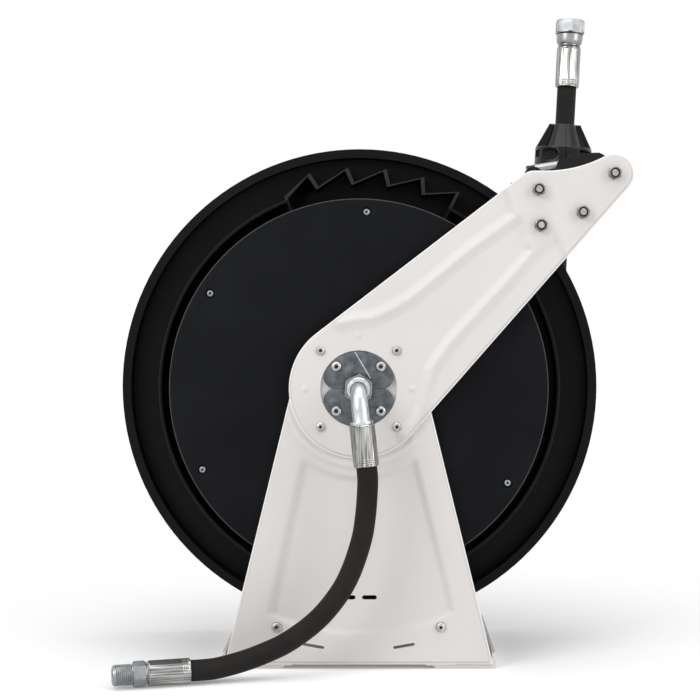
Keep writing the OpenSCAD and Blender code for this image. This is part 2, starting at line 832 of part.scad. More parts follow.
module guide_nuts() {
    color("dimgray") for (m = [0, 1]) mirror([0, m, 0]) for (p = nuts) difference() {
        hex_rod(p, -nut_h, 0, nut_af, nut_turn);
        rod(p, -nut_h - 1, 1, bolt_r + fit);
    }
}

module roller_pins() {
    color("silver") {
        for (s = [-1, 1]) rod(roller_at(s), d_cheek - pin_seat, depth - d_cheek + pin_seat, pin_r);
        for (m = [0, 1]) mirror([0, m, 0]) along_cross() translate([cross_left, 0, 0]) rotate([0, 90, 0])
            cylinder(h = cross_right - cross_left, r = cross_pin_r);
    }
}

module long_roller(s) {
    difference() {
        rod(roller_at(s), long_start, depth - long_start, roller_r);
        rod(roller_at(s), long_start - 1, depth, pin_r + run_gap);
    }
}

module left_roller() {
    color("#1c1c1e") long_roller(-1);
}

module right_roller() {
    color("#1c1c1e") long_roller(1);
}

module cross_roller() {
    along_cross() translate([cross_left + lug_w + seat_gap, 0, 0]) rotate([0, 90, 0]) difference() {
        cylinder(h = cross_l, r = cross_r);
        translate([0, 0, -1]) cylinder(h = cross_l + 2, r = cross_pin_r + run_gap);
    }
}

module front_cross_roller() {
    color("lightgray") cross_roller();
}

module rear_cross_roller() {
    color("lightgray") rear() cross_roller();
}

// ---- Stopper and hose end ----

module stopper_body() {
    difference() {
        rotate_extrude() polygon([[hose_d / 2 + fit, 0], [stop_r - 1.5, 0], [stop_r, 1.5], [stop_r, stop_low],
            [stop_top_r, stop_h - 2], [stop_top_r - 1, stop_h], [hose_d / 2 + fit, stop_h]]);
        for (s = [-1, 1]) {
            translate([s * eye_x, 0, eye_z]) rotate([90, 0, 0]) for (m = [-1, 1]) translate([0, 0, m * (eye_y + 20)])
                cylinder(h = 40, r = eye_r, center = true);
            for (m = [-1, 1]) translate([s * rib_x, m * (stop_r - 1), 0]) cube([5, 12, 2 * rib_top], center = true);
            translate([-stop_r, s * clamp_y, clamp_z]) rotate([0, 90, 0]) cylinder(h = 2 * stop_r, r = clamp_r + fit);
            translate([-stop_r - 1, s * clamp_y, clamp_z]) rotate([0, 90, 0])
                cylinder(h = stop_r + 1 - clamp_head, r = 2 * clamp_r + 2 * fit);
        }
    }
}

module stopper_half() {
    intersection() {
        stopper_body();
        translate([-stop_r - seat_gap / 2, 0, stop_h / 2]) cube([2 * stop_r, 3 * stop_r, 2 * stop_h], center = true);
    }
}

module stopper_left_half() {
    color("#151517") along_hose(stop_t) stopper_half();
}

module stopper_right_half() {
    color("#151517") along_hose(stop_t) mirror([1, 0, 0]) stopper_half();
}

module stopper_screws() {
    color("silver") along_hose(stop_t) for (s = [-1, 1]) translate([-clamp_head, s * clamp_y, clamp_z])
        rotate([0, 90, 0]) {
            cylinder(h = 2 * clamp_head, r = clamp_r);
            for (z = [-clamp_r, 2 * clamp_head - eps]) translate([0, 0, z])
                cylinder(h = clamp_r + eps, r = 2 * clamp_r);
        }
}

// Centre of the hose at distance t along its straight run.
function hose_at(t) = [coil_r * cos(lean) + t * sin(lean), y_front + d_lead, hub_h - coil_r * sin(lean) + t * cos(lean)];

module hose_lead() {
    turn = [for (i = [0:lead_rings]) let (a = lead_arc * (i / lead_rings - 1) - lean)
        [coil_r * cos(a), y_front + d_lead, hub_h + coil_r * sin(a)]];
    color("#2b2624") sweep(concat(turn, [for (t = [60, stop_t, ferrule_t + ferrule_l - ferrule_end]) hose_at(t)]),
        hose_d / 2, hose_sides);
}

module hose_end_ferrule() {
    color("silver") along_hose(ferrule_t) difference() {
        cylinder(h = ferrule_l, r = ferrule_r);
        translate([0, 0, -1]) cylinder(h = ferrule_l - ferrule_end + 1, r = hose_d / 2 + fit);
        cylinder(h = ferrule_l + 1, r = stem_r + fit);
    }
}

module hose_end_stem() {
    color("silver") along_hose(ferrule_t + ferrule_l - ferrule_end) difference() {
        union() {
            cylinder(h = ferrule_end + neck_l + collar_l + nut_lip + 1, r = stem_r);
            translate([0, 0, ferrule_end + neck_l]) cylinder(h = collar_l, r = collar_r);
            translate([0, 0, ferrule_end + neck_l + collar_l + nut_lip + 2 * run_gap + seat_gap])
                cylinder(h = stem_flange_l, r = stem_flange_r);
        }
        translate([0, 0, -1]) cylinder(h = ferrule_l + neck_l + collar_l + nut_l, r = stem_bore);
    }
}

module swivel_nut() {
    color("silver") along_hose(nut_t) difference() {
        rotate(nut_turn) cylinder(h = nut_l, r = end_af / 2 / cos(30), $fn = 6);
        translate([0, 0, -1]) cylinder(h = nut_l, r = stem_r + run_gap);
        translate([0, 0, nut_lip]) cylinder(h = stem_flange_l + 1, r = stem_flange_r + seat_gap);
        translate([0, 0, nut_lip + stem_flange_l + 2 * run_gap + seat_gap]) cylinder(h = nut_l, r = end_thread_r);
    }
}

// ---- Pawl ----

module pawl_stud() {
    color("silver") difference() {
        union() {
            rod(pawl_p, d_ped, stud_end, pawl_axis_r);
            rod(pawl_p, d_ped, d_ped + 4, pawl_axis_r + 3);
            rod(pawl_p, d_pawl - 2.3, d_pawl - seat_gap, pawl_axis_r + 3);
        }
        difference() {
            rod(pawl_p, stud_end - 2.2, stud_end - 1, pawl_axis_r + 1);
            rod(pawl_p, stud_end - 3, stud_end, pawl_axis_r - 1);
        }
    }
}

module pawl() {
    color("dimgray") difference() {
        slab(d_pawl, d_pawl + pawl_t) translate(pawl_p) rotate(pawl_park) {
            circle(r = pawl_hub_r);
            polygon([[0, -pawl_hub_r + 1], [pawl_len - 6, -3.5], [pawl_len, 0], [pawl_len - 2, 3.5], [0, pawl_hub_r - 1]]);
        }
        rod(pawl_p, d_pawl - 1, d_pawl + pawl_t + 1, pawl_axis_r + run_gap);
    }
}

module pawl_spring() {
    coil = [for (i = [0:coil_turns * 12]) [pawl_p.x + coil_w * cos(i * 30), y_front + d_coil + i * coil_pitch / 12,
        hub_h + pawl_p.y + coil_w * sin(i * 30)]];
    color("silver") sweep(concat([coil[0] + [0, 0, -14]], coil, [coil[len(coil) - 1] + [0, 0, 16]]), wire_r, 8);
}

module pawl_clip() {
    color("dimgray") difference() {
        rod(pawl_p, stud_end - 2.2 + fit, stud_end - 1 - fit, pawl_axis_r + 3.5);
        rod(pawl_p, stud_end - 3, stud_end, pawl_axis_r - 1 + fit);
        slab(stud_end - 3, stud_end) translate(pawl_p - [0, 8]) square([5, 10], center = true);
    }
}

// ---- Drum ----

// Outline of the teeth; in is the wall's thickness on the inner side.
function teeth_line(in, turn) = [for (k = [0:teeth - 1]) each [
    polar(tooth_foot_r - in, zone_start - k * tooth_pitch + (k == 0 ? -turn : turn)),
    polar(tooth_tip_r - in, zone_start - k * tooth_pitch - ramp + turn)]];

module ring_wall() {
    difference() {
        union() {
            difference() {
                circle(r = ring_r, $fn = 180);
                for (m = [0, 180]) rotate(m) polygon([[0, 0], for (k = [0:8])
                    polar(ring_r * 1.1, zone_start - k * (zone_turn - 0.4) / 8 - 0.2)]);
            }
            for (m = [0, 180]) rotate(m) polygon(concat([[0, 0]], teeth_line(0, 0)));
        }
        difference() {
            circle(r = ring_r - ring_t, $fn = 180);
            for (m = [0, 180]) rotate(m) polygon([[0, 0], for (k = [0:8])
                polar(ring_r * 1.1, zone_start - k * zone_turn / 8)]);
        }
        for (m = [0, 180]) rotate(m) polygon(concat([[0, 0]], teeth_line(ring_t, wall_turn)));
        circle(r = cover_r + 1.5, $fn = 180);
    }
}

module front_flange() {
    color("#1a1b1c") difference() {
        union() {
            turned() polygon([[hub_out + fit, d_flange], [rim_r - lip_w, d_flange], [rim_r - lip_w, d_lip], [rim_r, d_lip],
                [rim_r, d_lip + lip_t], [rim_r - lip_w + lip_t, d_lip + lip_t], [rim_r - lip_w + lip_t, d_wind],
                [hub_out + fit, d_wind]]);
            slab(d_ring, d_flange + 1) ring_wall();
        }
        for (i = [0:flange_screw_n - 1]) rod(flange_screw_at(i), d_flange - 1, d_wind + 1, flange_screw_r + fit);
    }
}

module spring_case() {
    color("#151515") difference() {
        union() {
            turned() polygon([[hub_out + fit, d_case], [case_r - case_wall, d_case], [case_r - case_wall, d_cover + cover_t],
                [case_r, d_cover + cover_t], [case_r, d_flange], [hub_out + fit, d_flange]]);
            for (i = [0:cover_screw_n - 1]) rod(cover_screw_at(i), d_cover + cover_t, d_case + eps, post_r);
        }
        for (i = [0:cover_screw_n - 1]) rod(cover_screw_at(i), d_cover, d_cover + 20, post_screw_r + fit);
        for (i = [0:flange_screw_n - 1]) rod(flange_screw_at(i), d_case - 1, d_flange + 1, flange_screw_r + fit);
    }
}

module spring_cover() {
    color("#202123") difference() {
        turned() polygon([[cover_hole, d_cover], [cover_r, d_cover], [cover_r, d_cover + cover_t + skirt_l],
            [case_r + fit, d_cover + cover_t + skirt_l], [case_r + fit, d_cover + cover_t],
            [cover_hole, d_cover + cover_t]]);
        for (i = [0:cover_screw_n - 1]) {
            rod(cover_screw_at(i), d_cover - 1, d_cover + cover_t + 1, post_screw_r + screw_clear);
            rod(cover_screw_at(i), d_cover - 1, d_cover + cover_t - 0.8, cover_pit_r);
        }
    }
}

module cover_screws() {
    color("silver") for (i = [0:cover_screw_n - 1]) difference() {
        union() {
            rod(cover_screw_at(i), d_cover + 0.2, d_cover + cover_t - 0.8, cover_head_r);
            rod(cover_screw_at(i), d_cover + 1, d_cover + 20, post_screw_r);
        }
        hex_rod(cover_screw_at(i), d_cover - 1, d_cover + 1.4, 2.5);
    }
}

module main_spring() {
    pts = [for (i = [0:spring_turns * 24]) polar(spring_in + (spring_out - spring_in) * i / (spring_turns * 24),
        cover_screw_a + i * 15)];
    back = [for (i = [spring_turns * 24:-1:0]) pts[i] - unit(pts[i]) * band_t];
    color("steelblue") slab(d_spring, d_spring_end) polygon(concat(pts, back));
}

module drum_core() {
    color("#26272a") difference() {
        union() {
            turned() polygon([[hub_in, d_case], [hub_out, d_case], [hub_out, d_wind], [core_r, d_wind], [core_r, d_rear],
                [core_r - web_w, d_rear], [core_r - web_w, d_rear - core_t], [core_r - core_t, d_rear - core_t],
                [core_r - core_t, d_hub_end], [hub_in, d_hub_end], [hub_in, d_hub_end - bush_l],
                [hub_out, d_hub_end - bush_l], [hub_out, d_hub_end - core_t], [core_r - core_t, d_hub_end - core_t],
                [core_r - core_t, d_wind + core_t], [hub_out, d_wind + core_t], [hub_out, d_case + bush_l],
                [hub_in, d_case + bush_l]]);
        }
        for (i = [0:5]) rod(polar(window_c, 60 * i), d_wind - 1, d_rear + 1, window_r);
        for (i = [0:flange_screw_n - 1]) rod(flange_screw_at(i), d_case, d_outer, flange_screw_r + fit);
        outlet(outlet_r + fit);
    }
}

// A rod from the swivel housing to the outside of the core.
module outlet(r) {
    translate([0, y_front + swivel_d, hub_h]) rotate([0, -outlet_a, 0]) rotate([0, 90, 0])
        translate([0, 0, swivel_r - 2]) cylinder(h = core_r - swivel_r + 2, r = r);
}

module rear_flange() {
    color("#1a1b1c") difference() {
        union() {
            turned() polygon([[rear_hole, d_rear], [rim_r, d_rear], [rim_r, d_outer + rib_h],
                [rim_r - ring_t, d_outer + rib_h], [rim_r - ring_t, d_outer], [rear_hole, d_outer]]);
            for (i = [0:rib_n - 1]) slab(d_outer - 1, d_outer + rib_h) rotate((i + 0.5) * 360 / rib_n + flange_screw_a)
                translate([carrier_r + 5, -ring_t / 2]) square([rim_r - carrier_r - 7, ring_t]);
        }
        for (i = [0:flange_screw_n - 1]) rod(flange_screw_at(i), d_rear - 1, d_outer + 9, flange_screw_r + screw_clear);
    }
}

module flange_screws() {
    color("silver") for (i = [0:flange_screw_n - 1]) {
        rod(flange_screw_at(i), d_case - 3.5, d_case, flange_head_r);
        rod(flange_screw_at(i), d_case - 1, d_wind + core_t, flange_screw_r);
        rod(flange_screw_at(i), d_outer, d_outer + 3.5, flange_head_r);
        rod(flange_screw_at(i), d_rear - core_t, d_outer + 1, flange_screw_r);
    }
}

module drum_bushes() {
    color("khaki") for (d = [d_case, d_hub_end - bush_l]) difference() {
        rod([0, 0], d, d + bush_l, hub_in - fit);
        rod([0, 0], d - 1, d + bush_l + 1, axle_r + run_gap);
    }
}

module swivel_housing() {
    color("goldenrod") difference() {
        rod([0, 0], swivel_d - swivel_w / 2, swivel_d + swivel_w / 2, swivel_r);
        rod([0, 0], swivel_d - swivel_w, swivel_d + swivel_w, axle_r + run_gap);
        rod([0, 0], swivel_d - port_r, swivel_d + port_r, axle_r + 3);
        outlet(outlet_r + fit);
        translate([0, y_front + swivel_d, hub_h]) rotate([0, -outlet_a, 0]) rotate([0, 90, 0])
            cylinder(h = swivel_r, r = stem_bore);
    }
}

module drum_outlet() {
    color("goldenrod") difference() {
        outlet(outlet_r);
        translate([0, y_front + swivel_d, hub_h]) rotate([0, -outlet_a, 0]) rotate([0, 90, 0])
            cylinder(h = core_r + 1, r = stem_bore);
    }
}

module wound_hose() {
    color("#2b2624") turned() {
        translate([core_r + seat_gap, d_wind + seat_gap]) square([under_c - core_r - seat_gap, wind_w - 2 * seat_gap]);
        for (i = [0:wraps - 1]) translate([under_c, wrap_at(i)]) circle(r = hose_d / 2, $fn = 48);
        for (i = [lead_wrap + 1:wraps - 1]) {
            translate([coil_r, wrap_at(i)]) circle(r = hose_d / 2, $fn = 48);
            translate([under_c, wrap_at(i) - 4]) square([hose_d, 8]);
        }
    }
}

base_plate();
front_pedestal();
rear_pedestal();
front_arm();
rear_arm();
pedestal_screws();
front_hub_carrier();
rear_hub_carrier();
hub_screws();
upper_retainer_plate();
lower_retainer_plate();
retainer_screws();
axle();
axle_circlip();
axle_seals();
spring_arbor();
inlet_elbow();
elbow_ferrule();
inlet_hose();
inlet_hose_ferrule();
inlet_fitting();
front_guide_cheek();
rear_guide_cheek();
guide_bolts();
guide_nuts();
roller_pins();
left_roller();
right_roller();
front_cross_roller();
rear_cross_roller();
stopper_left_half();
stopper_right_half();
stopper_screws();
hose_lead();
hose_end_ferrule();
hose_end_stem();
swivel_nut();
pawl_stud();
pawl();
pawl_spring();
pawl_clip();
front_flange();
spring_case();
spring_cover();
cover_screws();
main_spring();
drum_core();
rear_flange();
flange_screws();
drum_bushes();
swivel_housing();
drum_outlet();
wound_hose();
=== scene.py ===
"""Spring-rewind open hose reel: finishes, detailed pieces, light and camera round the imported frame.

X runs to the right, Y away from the camera and Z up. Places in the scene are in metres. Outlines
and turned profiles are in millimetres round the drum axis, with d as the depth behind the front.
"""
import json
import math

import bmesh
import bpy
from mathutils import Matrix, Vector

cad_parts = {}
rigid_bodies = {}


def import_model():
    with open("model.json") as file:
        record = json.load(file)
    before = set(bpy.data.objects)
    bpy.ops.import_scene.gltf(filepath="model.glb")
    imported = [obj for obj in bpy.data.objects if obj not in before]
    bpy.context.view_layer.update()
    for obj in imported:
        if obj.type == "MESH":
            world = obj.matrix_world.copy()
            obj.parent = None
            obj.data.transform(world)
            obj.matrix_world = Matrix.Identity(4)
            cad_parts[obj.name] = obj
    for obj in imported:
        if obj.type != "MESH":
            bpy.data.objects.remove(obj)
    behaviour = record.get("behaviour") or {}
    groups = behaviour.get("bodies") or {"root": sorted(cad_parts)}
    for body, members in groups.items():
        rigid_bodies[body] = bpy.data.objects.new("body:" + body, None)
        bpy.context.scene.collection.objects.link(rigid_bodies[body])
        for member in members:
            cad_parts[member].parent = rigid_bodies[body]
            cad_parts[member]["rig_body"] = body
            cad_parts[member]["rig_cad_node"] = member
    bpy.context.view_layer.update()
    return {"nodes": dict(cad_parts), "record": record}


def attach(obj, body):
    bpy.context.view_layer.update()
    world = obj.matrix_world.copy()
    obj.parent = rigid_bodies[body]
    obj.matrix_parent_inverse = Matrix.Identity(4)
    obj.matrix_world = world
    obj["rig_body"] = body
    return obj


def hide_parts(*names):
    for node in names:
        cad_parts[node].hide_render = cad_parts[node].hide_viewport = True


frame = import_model()
nodes = frame["nodes"]

# Sizes of the reel, in metres, the same as in the solids
HUB = 0.282  # height of the drum axis
DEPTH = 0.2216  # from the front arm's raised face to the rear arm's
FRONT = -DEPTH / 2
HOSE_R = 0.01025
WRAPS = 5
PITCH = 2 * HOSE_R + 0.0003  # from one turn of hose to the next
CORE_R = 0.1583
UNDER_R = 0.18465  # middle of the turns in the lower layer
COIL_R = UNDER_R + 2 * HOSE_R + 0.0006  # middle of the turns in the upper layer
D_WIND = 0.0933  # depth at which the turns start
D_LEAD = D_WIND + 1.5 * PITCH  # the lead is the second turn of the upper layer
LEAN = math.radians(3.15)  # of the hose, where it leaves the drum


# ---------------------------------------------------------------- helpers

def linked(name, data):
    o = bpy.data.objects.new(name, data)
    bpy.context.scene.collection.objects.link(o)
    return o


def only(o):
    """Makes an object the only one that is selected, and the active one."""
    bpy.ops.object.select_all(action="DESELECT")
    o.select_set(True)
    bpy.context.view_layer.objects.active = o


def settle(o):
    """Puts a finished piece's place into its mesh."""
    only(o)
    bpy.ops.object.transform_apply(location=True, rotation=True, scale=True)
    return o


def apply_all(o):
    only(o)
    for m in list(o.modifiers):
        bpy.ops.object.modifier_apply(modifier=m.name)
    return o


def smooth(o, angle):
    only(o)
    bpy.ops.object.shade_smooth_by_angle(angle=math.radians(angle))
    return o


def recalculate(o):
    """Turns all faces outwards."""
    only(o)
    bpy.ops.object.mode_set(mode="EDIT")
    bpy.ops.mesh.select_all(action="SELECT")
    bpy.ops.mesh.normals_make_consistent(inside=False)
    bpy.ops.object.mode_set(mode="OBJECT")


def bevel(o, width, segments, angle):
    """Breaks the edges that are sharper than an angle."""
    m = o.modifiers.new("edges", "BEVEL")
    m.width = width
    m.segments = segments
    m.limit_method = "ANGLE"
    m.angle_limit = math.radians(angle)
    return apply_all(o)


def new_mesh(name, verts, faces):
    mesh = bpy.data.meshes.new(name)
    mesh.from_pydata([tuple(v) for v in verts], [], faces)
    mesh.validate()
    return linked(name, mesh)


def from_bmesh(name, bm):
    mesh = bpy.data.meshes.new(name)
    bm.to_mesh(mesh)
    bm.free()
    return linked(name, mesh)


def dress(o, material, body):
    o.data.materials.clear()
    o.data.materials.append(material)
    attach(o, body)
    return o


def curve_points(points, steps):
    """The smooth line through points, with steps pieces between each two."""
    out = []
    last = len(points) - 1
    for i in range(last):
        a, b, c, d = (Vector(points[min(max(k, 0), last)]) for k in (i - 1, i, i + 1, i + 2))
        for s in range(steps):
            u = s / steps
            out.append(0.5 * (2 * b + (c - a) * u + (2 * a - 5 * b + 4 * c - d) * u * u
                              + (3 * b - a - 3 * c + d) * u * u * u))
    out.append(Vector(points[last]))
    return out


def tube(name, line, radius, sides):
    """A closed tube along a line, with a UV map: u round it, v along it in metres."""
    n = len(line)
    verts, faces = [], []
    run = [0.0]
    for i in range(1, n):
        run.append(run[-1] + (line[i] - line[i - 1]).length)
    for i in range(n):
        tangent = (line[min(i + 1, n - 1)] - line[max(i - 1, 0)]).normalized()
        side = Vector((0, 1, 0)).cross(tangent).normalized()
        up = tangent.cross(side)
        for k in range(sides):
            a = 2 * math.pi * k / sides
            verts.append(line[i] + radius * (side * math.cos(a) + up * math.sin(a)))
    for i in range(n - 1):
        for k in range(sides):
            j = (k + 1) % sides
            faces.append((i * sides + k, i * sides + j, (i + 1) * sides + j, (i + 1) * sides + k))
    faces.append(tuple(reversed(range(sides))))
    faces.append(tuple((n - 1) * sides + k for k in range(sides)))
    o = new_mesh(name, verts, faces)
    uv = o.data.uv_layers.new(name="along")
    for p in o.data.polygons:
        p.use_smooth = len(p.vertices) == 4
        if not p.use_smooth:
            continue
        ks = [v % sides for v in p.vertices]
        wraps = max(ks) - min(ks) > 1
        for loop, v in zip(p.loop_indices, p.vertices):
            k = sides if wraps and v % sides == 0 else v % sides
            uv.data[loop].uv = (k / sides, run[v // sides])
    return o


# ---------------------------------------------------------------- camera

VIEW = 700  # pixels across
FOCUS = 1500  # pixels from the eye to the plane of the view
SENSOR = 36
EYE = (0.0214, FRONT - 1.5, 0.347)

camera_data = bpy.data.cameras.new("camera")
camera_data.sensor_width = SENSOR
camera_data.lens = SENSOR * FOCUS / VIEW
camera_data.shift_x = -30 / VIEW
camera_data.shift_y = -26 / VIEW
camera_data.clip_end = 20
camera = linked("camera", camera_data)
camera.location = EYE
camera.rotation_euler = (math.radians(90), 0, 0)
bpy.context.scene.camera = camera
bpy.context.scene.view_settings.view_transform = "Standard"


# ---------------------------------------------------------------- shader parts

def node(tree, kind, inputs=None, **props):
    n = tree.nodes.new("ShaderNode" + kind)
    for key, value in props.items():
        setattr(n, key, value)
    for key, value in (inputs or {}).items():
        if hasattr(value, "is_output"):
            tree.links.new(value, n.inputs[key])
        else:
            n.inputs[key].default_value = value
    return n


def maths(tree, operation, *values, clamp=False):
    n = node(tree, "Math", dict(enumerate(values)), operation=operation, use_clamp=clamp)
    return n.outputs[0]


def map_range(tree, value, source, target, interpolation="LINEAR"):
    n = node(tree, "MapRange", {"Value": value, "From Min": source[0], "From Max": source[1],
                                "To Min": target[0], "To Max": target[1]},
             interpolation_type=interpolation)
    return n.outputs[0]


def object_place(tree):
    return node(tree, "TexCoord").outputs["Object"]


def mix_colour(tree, factor, a, b):
    return node(tree, "Mix", {0: factor, 6: a, 7: b}, data_type="RGBA").outputs[2]


def ramp(tree, factor, low, high):
    """0 where the factor is at low or under it, 1 at high or over it."""
    r = node(tree, "ValToRGB", {0: factor})
    for element, position, value in zip(r.color_ramp.elements, (low, high), (0.0, 1.0)):
        element.position, element.color = position, (value, value, value, 1)
    return r.outputs[0]


def bump(tree, height, strength, distance, normal=None):
    inputs = {"Height": height, "Strength": strength, "Distance": distance}
    if normal is not None:
        inputs["Normal"] = normal
    return node(tree, "Bump", inputs).outputs[0]


def seen_ray(tree):
    """1 for what the camera sees, straight, in metal or through glass."""
    path = node(tree, "LightPath")
    mirrored = maths(tree, "MAXIMUM", path.outputs["Is Glossy Ray"],
                     path.outputs["Is Transmission Ray"])
    return maths(tree, "MAXIMUM", path.outputs["Is Camera Ray"], mirrored)


def group(name, inputs, outputs):
    g = bpy.data.node_groups.new(name, "ShaderNodeTree")
    for label, kind, default in inputs:
        socket = g.interface.new_socket(name=label, in_out="INPUT", socket_type="NodeSocket" + kind)
        socket.default_value = default
    for label, kind in outputs:
        g.interface.new_socket(name=label, in_out="OUTPUT", socket_type="NodeSocket" + kind)
    return g, g.nodes.new("NodeGroupInput").outputs, g.nodes.new("NodeGroupOutput").inputs


# Two colours, roughness and relief of a grain that varies at two scales
grain_group, given, result = group("surface_grain", [
    ("Colour", "Color", (0.5, 0.5, 0.5, 1)), ("Second colour", "Color", (0.4, 0.4, 0.4, 1)),
    ("Patch scale", "Float", 20.0), ("Grain scale", "Float", 900.0), ("Roughness", "Float", 0.4),
    ("Roughness spread", "Float", 0.1), ("Relief", "Float", 0.1)],
    [("Colour", "Color"), ("Roughness", "Float"), ("Normal", "Vector")])
place = object_place(grain_group)
patches = node(grain_group, "TexNoise", {"Vector": place, "Scale": given["Patch scale"],
                                         "Detail": 4.0}).outputs[0]
fine = node(grain_group, "TexNoise", {"Vector": place, "Scale": given["Grain scale"],
                                      "Detail": 2.0}).outputs[0]
patchy = mix_colour(grain_group, ramp(grain_group, patches, 0.38, 0.64), given["Colour"],
                    given["Second colour"])
shift = map_range(grain_group, patches, (0.3, 0.7), (-1.0, 1.0))
varied = maths(grain_group, "MULTIPLY_ADD", shift, given["Roughness spread"], given["Roughness"],
               clamp=True)
grain_group.links.new(patchy, result["Colour"])
grain_group.links.new(varied, result["Roughness"])
grain_group.links.new(bump(grain_group, fine, given["Relief"], 0.0004), result["Normal"])


def principled(name, metallic=0.0, specular=0.5):
    material = bpy.data.materials.new(name)
    material.use_nodes = True
    shader = material.node_tree.nodes["Principled BSDF"]
    shader.inputs["Metallic"].default_value = metallic
    shader.inputs["Specular IOR Level"].default_value = specular
    return material, material.node_tree, shader.inputs


def grained(name, colour, second, patch, grain, rough, spread, relief, **kw):
    """A material with the surface grain, its tree, its shader's inputs and the grain's outputs."""
    material, tree, shader = principled(name, **kw)
    g = tree.nodes.new("ShaderNodeGroup")
    g.node_tree = grain_group
    values = ((*colour, 1), (*second, 1), patch, grain, rough, spread, relief)
    for socket, value in zip(g.inputs, values):
        socket.default_value = value
    tree.links.new(g.outputs["Colour"], shader["Base Color"])
    tree.links.new(g.outputs["Roughness"], shader["Roughness"])
    tree.links.new(g.outputs["Normal"], shader["Normal"])
    return material, tree, shader, g.outputs


def plain(name, **look):
    return grained(name, **look)[0]


def painted_highlight_rings(name, look, bands, colour):
    """Paints highlights as lighter rings round the drum axis: radius, half width, front and back
    depth, in metres.
    """
    material, tree, shader, made = grained(name, **look)
    split = node(tree, "SeparateXYZ", {0: object_place(tree)}).outputs
    flat = node(tree, "CombineXYZ", {0: split["X"], 1: maths(tree, "SUBTRACT", split["Z"], HUB)})
    radius = node(tree, "VectorMath", {0: flat.outputs[0]}, operation="LENGTH").outputs["Value"]
    highlight_mask = 0.0
    for r, half, front, back in bands:
        ring = maths(tree, "COMPARE", radius, r, half)
        deep = maths(tree, "COMPARE", split["Y"], FRONT + (front + back) / 2, (back - front) / 2)
        highlight_mask = maths(tree, "MAXIMUM", highlight_mask, maths(tree, "MULTIPLY", ring, deep))
    tree.links.new(mix_colour(tree, highlight_mask, made["Colour"], (*colour, 1)), shader["Base Color"])
    return material


def marked(name, look, ends, colour, half_width=0.0005):
    """A finish with one straight scratch between two ends, given by X and Z in metres."""
    material, tree, shader, made = grained(name, **look)
    (sx, sz), (ex, ez) = ends
    run = math.hypot(ex - sx, ez - sz)
    ux, uz = (ex - sx) / run, (ez - sz) / run
    place = object_place(tree)
    along, across = (node(tree, "VectorMath", {0: place, 1: way}, operation="DOT_PRODUCT")
                     .outputs["Value"] for way in ((ux, 0, uz), (uz, 0, -ux)))
    line = maths(tree, "COMPARE", across, uz * sx - ux * sz, half_width)
    reach = maths(tree, "COMPARE", along, ux * sx + uz * sz + run / 2, run / 2)
    mark = maths(tree, "MULTIPLY", line, reach)
    tree.links.new(mix_colour(tree, mark, made["Colour"], (*colour, 1)), shader["Base Color"])
    return material


def pressed(name, look):
    """Paint on a pressing: its cut edge, told by rim_mm, is rolled over by a bump and carries a
    painted highlight, a lighter colour near the edge.
    """
    material, tree, shader, made = grained(name, **look)
    rim = node(tree, "Attribute", attribute_name="rim_mm").outputs["Fac"]
    roll = map_range(tree, rim, (0.0, 3.4), (0.0, 1.0), "SMOOTHSTEP")
    # Painted highlight: the colour goes over to near white along the cut edge, fading out by 2 mm
    # from it
    edge_highlight = map_range(tree, rim, (0.6, 2.0), (1.0, 0.0), "SMOOTHSTEP")
    tree.links.new(mix_colour(tree, edge_highlight, made["Colour"], (0.90, 0.885, 0.87, 1)),
                   shader["Base Color"])
    tree.links.new(bump(tree, roll, 1.0, 0.0017, made["Normal"]), shader["Normal"])
    return material


def wrapped(name, look):
    """Hose cover with the cross pattern of its wrapping cloth, by the UV map along the hose."""
    material, tree, shader, made = grained(name, **look)
    weave = node(tree, "UVMap", uv_map="along")
    split = node(tree, "SeparateXYZ", {0: weave.outputs[0]}).outputs
    run = maths(tree, "MULTIPLY", split["Y"], 900.0)
    waves = []
    for slant in (58.0, -58.0):
        turn = maths(tree, "MULTIPLY_ADD", split["X"], slant, run)
        waves.append(maths(tree, "SINE", maths(tree, "MULTIPLY", turn, 2 * math.pi)))
    band = maths(tree, "SINE", maths(tree, "MULTIPLY", split["Y"], 420.0))
    height = maths(tree, "MULTIPLY_ADD", band, 0.6, maths(tree, "MULTIPLY", *waves))
    tree.links.new(bump(tree, height, 0.35, 0.0002, made["Normal"]), shader["Normal"])
    return material


def crimped(name, stretch, plan_turn=0.0):
    """Zinc with painted reflections: dark and light streaks along the crimp, painted into its colour,
    with its roughness and relief following them.
    """
    material, tree, shader = principled(name, metallic=1.0)
    coords = node(tree, "Mapping", {"Vector": object_place(tree),
                                    "Rotation": (0, 0, math.radians(plan_turn)),
                                    "Scale": tuple(1 / k for k in stretch)}, vector_type="TEXTURE")
    streak = node(tree, "TexNoise", {"Vector": coords.outputs[0], "Scale": 1.0,
                                     "Detail": 3.0}).outputs[0]
    # Painted reflections: the streaks mix a dark and a bright zinc into the colour
    reflection_streaks = ramp(tree, streak, 0.36, 0.60)
    tree.links.new(mix_colour(tree, reflection_streaks, (0.15, 0.147, 0.14, 1), (0.46, 0.46, 0.45, 1)),
                   shader["Base Color"])
    tree.links.new(map_range(tree, streak, (0.3, 0.7), (0.40, 0.24)), shader["Roughness"])
    tree.links.new(bump(tree, streak, 0.25, 0.0002), shader["Normal"])
    return material


# ---------------------------------------------------------------- finishes

